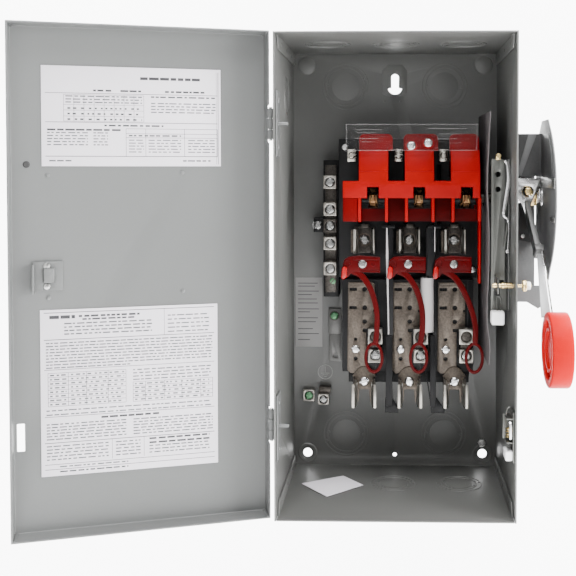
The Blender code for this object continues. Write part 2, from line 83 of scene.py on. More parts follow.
# ------------------------------------------------------------------ materials
def mat(name, base, rough, metal=0.0, var=0.06, vs=18.0, speck=0.03, ss=420.0, rv=0.06, bump=0.12, bs=900.0,
        alpha=None, spec=0.5, coat=0.0, blotch=None, blotch_s=160.0, blotch_w=0.5, transmission=0.0):
    """A finish whose colour, roughness and bump vary over the surface, by object position."""
    m = bpy.data.materials.new(name)
    m.use_nodes = True
    nt = m.node_tree
    p = nt.nodes["Principled BSDF"]
    new, link = nt.nodes.new, nt.links.new
    tc = new("ShaderNodeTexCoord")

    def noise(scale, detail, dist=0.0):
        n = new("ShaderNodeTexNoise")
        n.inputs["Scale"].default_value = scale
        n.inputs["Detail"].default_value = detail
        n.inputs["Distortion"].default_value = dist
        link(tc.outputs["Object"], n.inputs["Vector"])
        return n

    big, fine = noise(vs, 5), noise(ss, 3)
    ramp = new("ShaderNodeValToRGB")
    ramp.color_ramp.elements[0].position, ramp.color_ramp.elements[1].position = 0.32, 0.68
    lo = [max(c * (1 - var), 0) for c in base]
    hi = [min(c * (1 + var), 1) for c in base]
    ramp.color_ramp.elements[0].color = (*lo, 1)
    ramp.color_ramp.elements[1].color = (*hi, 1)
    link(big.outputs["Fac"], ramp.inputs["Fac"])
    colour = ramp.outputs["Color"]
    if blotch:
        bl = noise(blotch_s, 6, 0.6)
        br = new("ShaderNodeValToRGB")
        br.color_ramp.elements[0].position, br.color_ramp.elements[1].position = 0.44, 0.6
        br.color_ramp.elements[0].color = (0, 0, 0, 1)
        br.color_ramp.elements[1].color = (blotch_w, blotch_w, blotch_w, 1)
        link(bl.outputs["Fac"], br.inputs["Fac"])
        mx = new("ShaderNodeMix")
        mx.data_type = "RGBA"
        link(br.outputs["Color"], mx.inputs["Factor"])
        link(colour, mx.inputs["A"])
        mx.inputs["B"].default_value = (*blotch, 1)
        colour = mx.outputs["Result"]
    sr = new("ShaderNodeValToRGB")
    sr.color_ramp.elements[0].position, sr.color_ramp.elements[1].position = 0.3, 0.7
    sr.color_ramp.elements[0].color = (1 - speck, 1 - speck, 1 - speck, 1)
    sr.color_ramp.elements[1].color = (1, 1, 1, 1)
    link(fine.outputs["Fac"], sr.inputs["Fac"])
    mul = new("ShaderNodeMix")
    mul.data_type, mul.blend_type = "RGBA", "MULTIPLY"
    mul.inputs["Factor"].default_value = 1.0
    link(colour, mul.inputs["A"])
    link(sr.outputs["Color"], mul.inputs["B"])
    link(mul.outputs["Result"], p.inputs["Base Color"])
    mr = new("ShaderNodeMapRange")
    mr.inputs["To Min"].default_value = max(rough - rv, 0.02)
    mr.inputs["To Max"].default_value = min(rough + rv, 1)
    link(fine.outputs["Fac"], mr.inputs["Value"])
    link(mr.outputs["Result"], p.inputs["Roughness"])
    bn = noise(bs, 2)
    b = new("ShaderNodeBump")
    b.inputs["Strength"].default_value = bump
    b.inputs["Distance"].default_value = 0.0003
    link(bn.outputs["Fac"], b.inputs["Height"])
    link(b.outputs["Normal"], p.inputs["Normal"])
    p.inputs["Metallic"].default_value = metal
    p.inputs["Specular IOR Level"].default_value = spec
    p.inputs["Coat Weight"].default_value = coat
    if alpha is not None:
        p.inputs["Alpha"].default_value = alpha
    if transmission:
        p.inputs["Transmission Weight"].default_value = transmission
    return m


GREY = mat("grey_enamel", (0.093, 0.096, 0.0945), 0.45, var=0.035, vs=9, speck=0.05, ss=900, bump=0.10, bs=650)
# The same grey enamel as the door, darkened as painted shade for the shadowed inside of the box.
GREY_SHADED_INSIDE = mat("grey_enamel_painted_shade", (0.082, 0.083, 0.079), 0.44, var=0.06, vs=7, speck=0.06, ss=900, bump=0.10, bs=650)
GREY_HANDLE = mat("grey_handle_paint", (0.100, 0.101, 0.102), 0.5, var=0.10, vs=30, speck=0.08, ss=800, bump=0.12, spec=0.2)
PAPER = mat("label_paper", (0.565, 0.54, 0.575), 0.62, var=0.015, vs=12, speck=0.02, ss=1500, bump=0.05)
INK = mat("label_ink", (0.02, 0.02, 0.023), 0.6, var=0.25, vs=900, speck=0.2, ss=2500, bump=0.02)
INK_SOFT = mat("label_ink_soft", (0.06, 0.06, 0.065), 0.6, var=0.3, vs=900, speck=0.2, ss=2500, bump=0.02)
ZINC = mat("zinc_plate", (0.45, 0.45, 0.44), 0.28, metal=1.0, var=0.10, vs=60, speck=0.10, ss=1200, bump=0.15)
BRIGHT = mat("bright_zinc", (0.66, 0.66, 0.66), 0.22, metal=1.0, var=0.08, vs=70, speck=0.06, ss=1500, bump=0.10)
STEEL_DULL = mat("dull_steel", (0.105, 0.107, 0.099), 0.42, metal=0.85, var=0.12, vs=40, speck=0.12, ss=900, bump=0.18)
BLACK = mat("black_moulding", (0.0075, 0.0075, 0.008), 0.40, var=0.3, vs=60, speck=0.2, ss=900, bump=0.22, bs=1400, spec=0.14)
RED = mat("red_moulding", (0.20, 0.0002, 0.0006), 0.40, var=0.08, vs=30, speck=0.06, ss=900, bump=0.10, spec=0.06)
# The red moulding darkened as painted half shade, between the lit red and the shadowed red.
RED_HALF_SHADED = mat("red_painted_half_shade", (0.09, 0.0002, 0.0008), 0.42, var=0.12, vs=30, speck=0.06, ss=900, bump=0.10, spec=0.05)
RED_DARK = mat("red_shadowed", (0.028, 0.0002, 0.0004), 0.42, var=0.2, vs=30, speck=0.06, ss=900, bump=0.10, spec=0.03)
RED_GLOSS = mat("red_gloss", (0.24, 0.0003, 0.0008), 0.22, var=0.08, vs=60, speck=0.04, ss=900, bump=0.06, spec=0.35)
RED_GRIP = mat("red_grip", (0.36, 0.0003, 0.0015), 0.44, var=0.05, vs=30, speck=0.04, ss=900, bump=0.08, spec=0.04)
RED_STRAP = mat("red_strap", (0.052, 0.0003, 0.0008), 0.33, var=0.10, vs=60, speck=0.08, ss=900, bump=0.10, spec=0.07)
COPPER = mat("copper", (0.16, 0.085, 0.04), 0.34, metal=1.0, var=0.2, vs=120, speck=0.15, ss=900, bump=0.2)
TIN = mat("tinned_mottled", (0.097, 0.078, 0.061), 0.42, metal=0.6, var=0.16, vs=60, speck=0.45, ss=520, bump=0.3,
          blotch=(0.045, 0.036, 0.029), blotch_s=700, blotch_w=0.5)
TIN_DARK = mat("tinned_dark", (0.060, 0.052, 0.045), 0.40, metal=0.7, var=0.25, vs=90, speck=0.35, ss=700, bump=0.3,
               blotch=(0.014, 0.012, 0.010), blotch_s=500, blotch_w=0.6)
JAW = mat("clip_jaw", (0.30, 0.285, 0.255), 0.30, metal=0.9, var=0.15, vs=80, speck=0.15, ss=900, bump=0.2)
LUG = mat("lug_plating", (0.27, 0.255, 0.23), 0.30, metal=0.85, var=0.12, vs=80, speck=0.15, ss=900, bump=0.2)
STEEL_SCREW = mat("screw_steel", (0.24, 0.24, 0.235), 0.28, metal=1.0, var=0.15, vs=90, speck=0.15, ss=900, bump=0.15)
STEEL_MID = mat("steel_mid", (0.075, 0.075, 0.074), 0.45, metal=0.3, var=0.10, vs=40, speck=0.12, ss=900, bump=0.18)
ZINC_SOFT = mat("zinc_soft", (0.22, 0.222, 0.225), 0.42, metal=0.4, var=0.08, vs=40, speck=0.10, ss=900, bump=0.15)
# A darkened copy of the handle grey: painted shade for the housing's web and front plate, which sit in shadow.
HANDLE_PAINT_SHADED = mat("handle_paint_painted_shade", (0.042, 0.042, 0.042), 0.40, var=0.35, vs=22, speck=0.15, ss=600, bump=0.15, spec=0.25)
STRAP_GREY = mat("strap_steel", (0.105, 0.104, 0.10), 0.38, metal=0.5, var=0.08, vs=40, speck=0.12, ss=900, bump=0.15)
TIN_CLEAN = mat("tinned_bright", (0.42, 0.40, 0.36), 0.26, metal=1.0, var=0.12, vs=80, speck=0.12, ss=900, bump=0.2,
                blotch=(0.22, 0.19, 0.15), blotch_s=260, blotch_w=0.5)
BRASS = mat("brass", (0.74, 0.56, 0.26), 0.28, metal=1.0, var=0.12, vs=90, speck=0.1, ss=900, bump=0.12)
BLACK_GLOSS = mat("black_gloss", (0.006, 0.006, 0.0065), 0.30, var=0.3, vs=60, speck=0.2, ss=900, bump=0.22, bs=1400, spec=0.10)
CONTACT = mat("contact_brass", (0.22, 0.15, 0.06), 0.22, metal=1.0, var=0.25, vs=120, speck=0.2, ss=900, bump=0.2)
FIBRE_LIGHT = mat("fibre_light", (0.33, 0.315, 0.315), 0.55, var=0.06, vs=30, speck=0.06, ss=1200, bump=0.2)
FIBRE = mat("fibre_sheet", (0.082, 0.072, 0.074), 0.62, var=0.08, vs=30, speck=0.08, ss=1200, bump=0.2)
WHITE = mat("white_nylon", (0.92, 0.92, 0.92), 0.42, var=0.03, vs=60, speck=0.03, ss=900, bump=0.1)
GREEN = mat("green_screw", (0.08, 0.20, 0.10), 0.35, metal=0.7, var=0.1, vs=90, speck=0.1, ss=900)
CLEAR = mat("clear_sheet", (0.20, 0.20, 0.20), 0.14, var=0.03, vs=30, speck=0.02, ss=900, alpha=0.02, bump=0.05, spec=0.3)
CLEAR_EDGE = mat("clear_edge", (0.30, 0.29, 0.29), 0.25, var=0.06, vs=60, speck=0.04, ss=900, alpha=0.22, bump=0.05, spec=0.3)
CLEAR_MARK = mat("clear_emboss", (0.28, 0.27, 0.27), 0.3, var=0.1, vs=200, speck=0.1, ss=900, alpha=0.25, bump=0.05, spec=0.3)
LABEL_GREY = mat("grey_label", (0.22, 0.215, 0.21), 0.5, var=0.05, vs=40, speck=0.05, ss=1200, bump=0.05)
# Near black, used as painted shade where a recess or the housing behind the arm lies in shadow.
DARK = mat("painted_recess_shade", (0.012, 0.012, 0.012), 0.7, var=0.2, vs=60, speck=0.1, ss=900)


# ------------------------------------------------------------------ shapes, drawn in millimetres
def add_box(bm, lo, hi):
    lo, hi = Vector(lo), Vector(hi)
    verts = bmesh.ops.create_cube(bm, size=1.0)["verts"]
    size, centre = hi - lo, (hi + lo) / 2
    for v in verts:
        v.co = Vector(v.co[i] * abs(size[i]) + centre[i] for i in range(3))


def add_cyl(bm, axis, centre, r, length, seg=32, r2=None):
    turn = {"z": Matrix(), "x": Matrix.Rotation(math.pi / 2, 4, "Y"), "y": Matrix.Rotation(math.pi / 2, 4, "X")}[axis]
    bmesh.ops.create_cone(bm, cap_ends=True, cap_tris=False, segments=seg, radius1=r, radius2=r if r2 is None else r2,
                          depth=length, matrix=Matrix.Translation(Vector(centre)) @ turn)


def add_prism(bm, axis, outline, lo, hi):
    place = {"x": lambda u, v, w: (w, u, v), "y": lambda u, v, w: (u, w, v), "z": lambda u, v, w: (u, v, w)}[axis]
    low = [bm.verts.new(place(u, v, lo)) for u, v in outline]
    high = [bm.verts.new(place(u, v, hi)) for u, v in outline]
    bm.faces.new(low)
    bm.faces.new(high[::-1])
    n = len(outline)
    for i in range(n):
        j = (i + 1) % n
        bm.faces.new((low[j], low[i], high[i], high[j]))


def box(lo, hi):
    return lambda bm: add_box(bm, lo, hi)


def cyl(axis, centre, r, length, seg=32, r2=None):
    return lambda bm: add_cyl(bm, axis, centre, r, length, seg, r2)


def prism(axis, outline, lo, hi):
    return lambda bm: add_prism(bm, axis, outline, lo, hi)


def lathe(profile, matrix, seg=40):
    """Turns (radius, height) points round the local Z axis; the profile closes on itself or ends on the axis."""
    def draw(bm):
        rings = []
        for r, h in profile:
            if r < 1e-6:
                rings.append([bm.verts.new(matrix @ Vector((0, 0, h)))])
            else:
                rings.append([bm.verts.new(matrix @ Vector((r * math.cos(2 * math.pi * i / seg), r * math.sin(2 * math.pi * i / seg), h)))
                              for i in range(seg)])
        closed = len(rings[0]) > 1 and len(rings[-1]) > 1
        pairs = list(zip(rings, rings[1:])) + ([(rings[-1], rings[0])] if closed else [])
        for a, b in pairs:
            for i in range(seg):
                j = (i + 1) % seg
                if len(a) == 1:
                    bm.faces.new((a[0], b[i], b[j]))
                elif len(b) == 1:
                    bm.faces.new((a[i], a[j], b[0]))
                else:
                    bm.faces.new((a[i], a[j], b[j], b[i]))
    return draw


def tube(points, r, seg=10, flat=None):
    """A round bar along points; flat=(rx, rz) makes it oval."""
    def draw(bm):
        pts = [Vector(p) for p in points]
        rings, up = [], None
        for i, p in enumerate(pts):
            t = (pts[min(i + 1, len(pts) - 1)] - pts[max(i - 1, 0)]).normalized()
            if up is None:
                up = Vector((0, 1, 0)) if abs(t.y) < 0.9 else Vector((1, 0, 0))
            n = (up - t * up.dot(t)).normalized()
            up = n
            b = t.cross(n)
            a, c = flat or (r, r)
            rings.append([bm.verts.new(p + n * a * math.cos(2 * math.pi * k / seg) + b * c * math.sin(2 * math.pi * k / seg)) for k in range(seg)])
        for a, b in zip(rings, rings[1:]):
            for k in range(seg):
                j = (k + 1) % seg
                bm.faces.new((a[k], a[j], b[j], b[k]))
        bm.faces.new(rings[0][::-1])
        bm.faces.new(rings[-1])
    return draw


def smooth_path(points, steps=6):
    pts = [Vector(p) for p in points]
    pts = [pts[0], *pts, pts[-1]]
    out = []
    for i in range(1, len(pts) - 2):
        a, b, c, d = pts[i - 1:i + 3]
        for s in range(steps):
            t = s / steps
            out.append(0.5 * (2 * b + (c - a) * t + (2 * a - 5 * b + 4 * c - d) * t * t + (3 * b - 3 * c + d - a) * t ** 3))
    out.append(pts[-1])
    return out


def helix(centre, axis, r, length, turns, per=14):
    ends = {"x": (Vector((1, 0, 0)), Vector((0, 1, 0)), Vector((0, 0, 1))), "z": (Vector((0, 0, 1)), Vector((1, 0, 0)), Vector((0, 1, 0))),
            "y": (Vector((0, 1, 0)), Vector((0, 0, 1)), Vector((1, 0, 0)))}[axis]
    n = int(turns * per)
    return [Vector(centre) + ends[0] * (length * (i / n - 0.5)) + ends[1] * r * math.cos(2 * math.pi * i / per) + ends[2] * r * math.sin(2 * math.pi * i / per)
            for i in range(n + 1)]


def arc(cu, cv, r, a0, a1, n):
    return [(cu + r * math.cos(math.radians(a0 + (a1 - a0) * i / n)), cv + r * math.sin(math.radians(a0 + (a1 - a0) * i / n)))
            for i in range(n + 1)]


def shape(draw, cuts=(), bevel=0.3, seg=2, angle=32):
    """A bmesh of one closed shape, with its cuts taken out and its sharp edges rounded."""
    bm = bmesh.new()
    draw(bm)
    bmesh.ops.recalc_face_normals(bm, faces=bm.faces)
    if cuts:
        mesh = bpy.data.meshes.new("tmp")
        bm.to_mesh(mesh)
        bm.free()
        obj = bpy.data.objects.new("tmp", mesh)
        bpy.context.scene.collection.objects.link(obj)
        cb = bmesh.new()
        tools = []
        for c in cuts:
            cb = bmesh.new()
            c(cb)
            bmesh.ops.recalc_face_normals(cb, faces=cb.faces)
            cm = bpy.data.meshes.new("tmpc")
            cb.to_mesh(cm)
            cb.free()
            tool = bpy.data.objects.new("tmpc", cm)
            bpy.context.scene.collection.objects.link(tool)
            tools.append(tool)
            mod = obj.modifiers.new("cut", "BOOLEAN")
            mod.operation, mod.solver, mod.object = "DIFFERENCE", "EXACT", tool
        bpy.context.view_layer.update()
        done = bpy.data.meshes.new_from_object(obj.evaluated_get(bpy.context.evaluated_depsgraph_get()))
        bm = bmesh.new()
        bm.from_mesh(done)
        for t in [obj, *tools]:
            data = t.data
            bpy.data.objects.remove(t)
            bpy.data.meshes.remove(data)
        bpy.data.meshes.remove(done)
        bmesh.ops.remove_doubles(bm, verts=bm.verts, dist=0.002)
        bmesh.ops.dissolve_limit(bm, angle_limit=math.radians(0.8), verts=bm.verts, edges=bm.edges)
    if bevel:
        edges = [e for e in bm.edges if len(e.link_faces) == 2 and e.calc_face_angle(0) > math.radians(angle)]
        if edges:
            bmesh.ops.bevel(bm, geom=edges, offset=bevel, segments=seg, profile=0.5, affect="EDGES", clamp_overlap=True)
    return bm


def from_node(node, bevel=0.3, seg=2, angle=32):
    """The same for a frame node's own solid, its coplanar triangles joined first."""
    bm = bmesh.new()
    bm.from_mesh(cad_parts[node].data)
    bmesh.ops.transform(bm, matrix=Matrix.Scale(1 / MM, 4), verts=bm.verts)
    bmesh.ops.remove_doubles(bm, verts=bm.verts, dist=0.002)
    bmesh.ops.dissolve_limit(bm, angle_limit=math.radians(0.8), verts=bm.verts, edges=bm.edges)
    if bevel:
        edges = [e for e in bm.edges if len(e.link_faces) == 2 and e.calc_face_angle(0) > math.radians(angle)]
        if edges:
            bmesh.ops.bevel(bm, geom=edges, offset=bevel, segments=seg, profile=0.5, affect="EDGES", clamp_overlap=True)
    return bm


def piece(name, body, material, parts, stands_for=(), xform=None, angle=34):
    """One object made of closed shapes. parts are bmeshes in millimetres, or (bmesh, material) pairs."""
    materials, total = [], bpy.data.meshes.new(name)
    whole = bmesh.new()
    for part in parts:
        bm, m = part if isinstance(part, tuple) else (part, material)
        if m not in materials:
            materials.append(m)
        tmp = bpy.data.meshes.new("tmp")
        for f in bm.faces:
            f.material_index = materials.index(m)
        bm.to_mesh(tmp)
        bm.free()
        whole.from_mesh(tmp)
        bpy.data.meshes.remove(tmp)
    scale = Matrix.Scale(MM, 4)
    bmesh.ops.transform(whole, matrix=scale @ xform if xform else scale, verts=whole.verts)
    whole.to_mesh(total)
    whole.free()
    for m in materials:
        total.materials.append(m)
    total.shade_smooth()
    total.set_sharp_from_angle(angle=math.radians(angle))
    obj = bpy.data.objects.new(name, total)
    bpy.context.scene.collection.objects.link(obj)
    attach(obj, body)
    if stands_for:
        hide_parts(*stands_for)
    return obj


def facing(normal, at, spin=0.0):
    """Local +Z turned to normal and moved to at."""
    return Matrix.Translation(Vector(at)) @ Vector(normal).to_track_quat("Z", "Y").to_matrix().to_4x4() @ Matrix.Rotation(spin, 4, "Z")


def screw(at, r=4.4, h=2.4, normal=(0, -1, 0), spin=0.3, slot=True, washer=False, hexed=False):
    """A slotted pan head whose underside is at `at`."""
    m = facing(normal, at, spin)
    prof = [(0, 0), (r, 0), (r, h * 0.45), (r * 0.94, h * 0.72), (r * 0.78, h * 0.92), (r * 0.5, h), (0, h * 1.02)]

    def draw(bm):
        lathe(prof, m, 6 if hexed else 28)(bm)
    parts = []
    cuts = []
    if slot:
        def cut(bm):
            add_box(bm, (-r * 1.2, -r * 0.13, h * 0.5), (r * 1.2, r * 0.13, h * 1.6))
            bmesh.ops.transform(bm, matrix=m, verts=bm.verts)
        cuts = [cut]
    parts.append(shape(draw, cuts, bevel=0))
    if washer:
        parts.append(shape(lathe([(r * 0.55, -0.8), (r * 1.3, -0.8), (r * 1.34, -0.5), (r * 1.3, -0.1), (r * 0.55, -0.1)], m, 28), bevel=0))
    return parts


def knockout(at, normal, radii=(22.3, 18.8, 13.9), lift=0.45):
    """Concentric pre-cut rings: a raised centre slug, and a fine ridge along each larger cut."""
    m = facing(normal, at)
    parts = [shape(lathe([(0, -0.2), (radii[-1], -0.2), (radii[-1], lift * 0.7), (radii[-1] - 0.5, lift), (0, lift)], m, 48), bevel=0)]
    for r in radii[:-1]:
        parts.append(shape(lathe([(r - 0.75, -0.2), (r - 0.45, lift * 0.8), (r + 0.45, lift * 0.8), (r + 0.75, -0.2)], m, 56), bevel=0))
        for k in (0, 1):
            a = math.radians(45 + 180 * k + r * 7)
            c = m @ Vector((math.cos(a) * (r - 1.2), math.sin(a) * (r - 1.2), 0.1))
            parts.append(shape(lathe([(0, -0.2), (1.5, -0.2), (1.3, lift), (0, lift)], facing(normal, c), 12), bevel=0))
    return parts

# ------------------------------------------------------------------ sizes shared with the frame
HALF_W, HALF_H, BOX_D, STEEL = 103.0, 208.0, 150.0, 1.5
HINGE_X, HINGE_Y, DOOR_OPEN = -107.0, -134.0, 163.0
SHAFT_Y, SHAFT_Z = -58.0, 65.0
GRIP_Y, GRIP_Z, GRIP_R = -170.0, -56.0, 31.0
BOLT_Y, BOLT_Z = -128.5, -8.4
LATCH_Y, LATCH_Z = -141.0, -130.0
BASE_F, LOAD_F = -44.0, -55.4
POLES = (("a", -29.0), ("b", 13.5), ("c", 56.0))
IN, OUT = 101.2, 103.3

# ------------------------------------------------------------------ enclosure
wrap = [(-HALF_W, -BOX_D), (-HALF_W, 0), (HALF_W, 0), (HALF_W, -BOX_D), (HALF_W - STEEL, -BOX_D),
        (HALF_W - STEEL, -STEEL), (-HALF_W + STEEL, -STEEL), (-HALF_W + STEEL, -BOX_D)]
keyhole = ([(-3.65, 173.0), (-3.65, 185.0)] + arc(0, 183.2, 3.65, 150, 30, 5) + [(3.65, 185.0), (3.65, 173.0)]
           + arc(0, 173.5, 7.05, -10, -170, 10))
cuts = [prism("y", keyhole, -5, 5)]
for sx in (-1, 1):
    cuts.append(cyl("y", (sx * 88, 0, -194.5), 4.5, 10))
cuts.append(cyl("y", (0, 0, -196), 2.0, 10))
for hz in (131.0, -129.0):
    cuts.append(box((-HALF_W - 2, HINGE_Y - 2, hz - 5), (-HALF_W + 3, HINGE_Y + 2, hz + 5)))
cuts.append(cyl("x", (HALF_W, SHAFT_Y, SHAFT_Z), 7.0, 10))
cuts.append(cyl("x", (HALF_W, BOLT_Y, BOLT_Z), 2.7, 10))
parts = [shape(prism("z", wrap, -HALF_H, HALF_H), cuts, bevel=0.45)]
back = -STEEL
for sx in (-1, 1):
    parts.append(shape(lathe([(0, -0.3), (9.6, -0.3), (8.4, 1.3), (7.6, 1.7), (0, 1.8)], facing((0, -1, 0), (sx * 88, back, 195.5)), 40), bevel=0))
    parts.append(shape(lathe([(6.0, -0.2), (6.4, 0.5), (8.6, 0.75), (10.2, -0.2)], facing((0, -1, 0), (sx * 88, back, -194.5)), 40), bevel=0))
    for sz in (-1, 1):
        parts += knockout((sx * 49, back, sz * 174.5), (0, -1, 0))
parts += knockout((-HALF_W + STEEL, -62, 160), (1, 0, 0), radii=(18.5, 14.2))
key_plate = [(-13, 168), (-13, 190), (-7, 196), (7, 196), (12, 190), (12, 168), (8, 165), (-9, 165)]
parts.append(shape(prism("y", key_plate, back - 0.75, back + 0.3), [prism("y", keyhole, -5, 5)], bevel=0.35))
for x in (-10.6, 5.4):
    parts.append(shape(lathe([(0, -0.2), (1.3, -0.2), (1.0, 0.7), (0, 0.9)], facing((0, -1, 0), (x, back, 159.5)), 14), bevel=0))
# The front edges of the side walls are folded over into a slim rolled hem.
for sx in (-1, 1):
    parts.append(shape(box((sx * HALF_W - 0.05 if sx > 0 else -HALF_W, -BOX_D, -HALF_H + 1), (sx * HALF_W if sx > 0 else -HALF_W + 0.05, -BOX_D + 1, HALF_H - 1)), bevel=0))
# The shell takes the darkened enclosure grey: painted shade for the inside of the box.
piece("enclosure_shell", "cabinet", GREY_SHADED_INSIDE, parts, ["enclosure_body"])

for side, sz in (("top", 1), ("bottom", -1)):
    x1 = HALF_W - STEEL - 0.3
    face, inner, lip = sz * HALF_H, sz * (HALF_H - STEEL), sz * (HALF_H - 13)
    z0, z1 = sorted((face, inner))
    l0, l1 = sorted((face, lip))
    parts = [shape(box((-x1, -BOX_D, z0), (x1, -STEEL - 0.3, z1)), bevel=0.4)]
    for s in (-1, 1):
        a, b = sorted((s * x1, s * (x1 - STEEL)))
        tab = [(-BOX_D + 8, face - sz * 0.4), (-BOX_D + 14, lip), (-STEEL - 8, lip), (-STEEL - 0.3, face - sz * 0.4)]
        parts.append(shape(prism("x", tab, a, b), bevel=0.3))
        for y in (-118, -76, -34):
            parts.append(shape(lathe([(0, -0.2), (1.9, -0.2), (1.5, 0.35), (0, 0.5)], facing((-s, 0, 0), (s * (x1 - STEEL), y, sz * (HALF_H - 7.5))), 14), bevel=0))
    if side == "top":
        for x in (-62, 0.8, 62):
            parts += knockout((x, -75, inner), (0, 0, -1), radii=(21, 16.5, 13))
            parts += knockout((x, -75, face), (0, 0, 1), radii=(21, 16.5, 13), lift=0.35)
    else:
        for x in (-1.4, 61):
            parts += knockout((x, -56, inner), (0, 0, 1), radii=(21, 16.5, 13))
            parts += knockout((x, -56, face), (0, 0, -1), radii=(21, 16.5, 13), lift=0.35)
    # The end walls take the darkened enclosure grey as painted shade.
    piece(f"{side}_wall", "cabinet", GREY_SHADED_INSIDE, parts, [f"{side}_end_wall"])

piece("weld_boss", "cabinet", ZINC, [shape(lathe([(0, -0.1), (4.2, -0.1), (4.2, 2.6), (3.7, 3.2), (0, 3.2)], facing((0, -1, 0), (87.5, back - 0.2, -183.0)), 6), bevel=0.2)]
      + [shape(lathe([(1.5, 3.0), (2.6, 3.2), (2.5, 3.5), (1.5, 3.5)], facing((0, -1, 0), (87.5, back - 0.2, -183.0)), 20), bevel=0)])
side_label = [shape(box((-100, -STEEL - 0.45, -87), (-73, -STEEL - 0.2, -17)), bevel=0.08)]
piece("rating_label", "cabinet", LABEL_GREY, side_label
      + [(shape(box((-97.5, -STEEL - 0.52, z), (-97.5 + w, -STEEL - 0.4, z + 0.7)), bevel=0), INK)
         for z, w in ((-23, 20), (-26, 17), (-31, 21), (-34.5, 14), (-39, 19), (-43, 20), (-49, 21), (-52, 12), (-58, 20), (-62, 18), (-69, 15), (-74, 21), (-80, 12))])

# ------------------------------------------------------------------ door, drawn closed, then swung open
SWING = (Matrix.Translation(Vector((HINGE_X, HINGE_Y, 0))) @ Matrix.Rotation(-math.radians(DOOR_OPEN), 4, "Z")
         @ Matrix.Translation(Vector((-HINGE_X, -HINGE_Y, 0))))
front = -(BOX_D + 0.8 + STEEL)
back_of_lip = front + 20.0
dx1, dz1 = HALF_W + 1.2 + STEEL, HALF_H + 1.2 + STEEL
dx0, dz0 = dx1 - STEEL, dz1 - STEEL
inner_face = front + STEEL + 0.3


def door_x(x_open):
    c, s = math.cos(math.radians(DOOR_OPEN)), math.sin(math.radians(DOOR_OPEN))
    return HINGE_X + (x_open - HINGE_X - s * ((front + STEEL) - HINGE_Y)) / c


cuts = [box((-dx0, front + STEEL, -dz0), (dx0, back_of_lip + 5, dz0)), box((95.7, front - 3, -141), (101.7, front + STEEL + 3, -118))]
for hz in (131.0, -129.0):
    cuts.append(box((-dx1 - 2, HINGE_Y - 5, hz - 16), (-dx0 + 2, back_of_lip + 5, hz + 16)))
parts = [shape(box((-dx1, front, -dz1), (dx1, back_of_lip, dz1)), cuts, bevel=0.7, seg=3)]
for hz in (131.0, -129.0):
    for sz in (-1, 1):
        z0, z1 = sorted((hz + sz * 5.0, hz + sz * 13))
        parts.append(shape(box((-dx1, HINGE_Y - 8, z0), (-dx0, HINGE_Y, z1)), bevel=0.2))
        parts.append(shape(lathe([(1.85, z0 - hz), (3.0, z0 - hz), (3.0, z1 - hz), (1.85, z1 - hz)], Matrix.Translation((HINGE_X, HINGE_Y, hz)), 28), bevel=0))
# Weld studs, and a shallow pressed line along each corner seam.
for x_open, z in ((-286.8, 86.8), (-182.5, 89.0), (-286.8, -14.2), (-182.5, -12.6)):
    parts.append(shape(lathe([(0, -0.3), (1.9, -0.3), (1.6, 0.9), (1.0, 1.3), (0, 1.4)], facing((0, 1, 0), (door_x(x_open), front + STEEL, z)), 18), bevel=0))
for sx in (-1, 1):
    for sz in (-1, 1):
        a, b = sorted((sx * (dx0 - 0.5), sx * (dx0 - 2.6)))
        c, d = sorted((sz * (dz0 - 0.1), sz * (dz0 - 0.7)))
        parts.append(shape(box((a, front + STEEL, c), (b, back_of_lip - 1, d)), bevel=0.2))
# Screw bosses that show as low domes on the outside of the front.
for z in (-92, 60):
    parts.append(shape(lathe([(0, -0.3), (3.2, -0.3), (2.7, 0.5), (0, 0.8)], facing((0, -1, 0), (60, front, z)), 28), bevel=0))
piece("door_pan", "door", GREY, parts, ["door_panel"], xform=SWING)
# The plug is drawn in the near-black recess colour: painted shade for the hole it sits in.
plug = door_x(-302.4)
piece("door_plug", "door", DARK, [shape(lathe([(0, -0.3), (2.9, -0.3), (2.8, 0.4), (1.9, 0.9), (0, 0.7)], facing((0, 1, 0), (plug, front + STEEL, 96)), 24), bevel=0)], xform=SWING)
cx0, cx1 = sorted((door_x(-298.5), door_x(-276.0)))
bx = cx1 - 11
bracket = [shape(box((cx0, inner_face, -8), (cx1, inner_face + 1.5, 16)), [cyl("y", (bx, inner_face, 12.5), 2.0, 30), cyl("y", (bx, inner_face, -4.5), 2.0, 30)], bevel=0.3),
           shape(prism("z", [(cx1 - 1.5, inner_face), (cx1, inner_face), (cx1, inner_face + 9), (cx1 - 1.5, inner_face + 9)], -10, 14), bevel=0.35),
           shape(prism("z", [(cx0 + 5.5, inner_face + 1), (cx1 - 7.5, inner_face + 1), (cx1 - 9, inner_face + 4.5), (cx0 + 7, inner_face + 4.5)], -1.5, 10.5), bevel=0.6)]
piece("catch_bracket", "door", GREY, bracket, ["door_catch_bracket"], xform=SWING)
piece("catch_rivets", "door", ZINC, [shape(lathe([(0, 0), (2.9, 0), (2.5, 0.8), (1.5, 1.2), (0, 1.3)], facing((0, 1, 0), (bx, inner_face + 1.5, z)), 22), bevel=0) for z in (12.5, -4.5)], xform=SWING)


# Printed labels: a paper sheet with rules and lines of small dashes for its text.
def ink_bar(bars, a, b, z0, z1, u0, v0, u1, v1):
    """A printed mark between fractions of the label, u from the hinge-far edge to the near one, v down."""
    x0, x1 = a + (b - a) * u0, a + (b - a) * u1
    lo, hi = sorted((x0, x1))
    za, zb = z1 + (z0 - z1) * v1, z1 + (z0 - z1) * v0
    bars.append((lo, hi, za, zb))


def words(bars, lab, u0, u1, v, h, density=0.86, word=(0.012, 0.045)):
    u = u0
    while u < u1:
        w = min(RNG.uniform(*word), u1 - u)
        if w > 0.004:
            ink_bar(bars, *lab, u, v - h / 2, u + w, v + h / 2)
        u += w + RNG.uniform(0.005, 0.011) / density


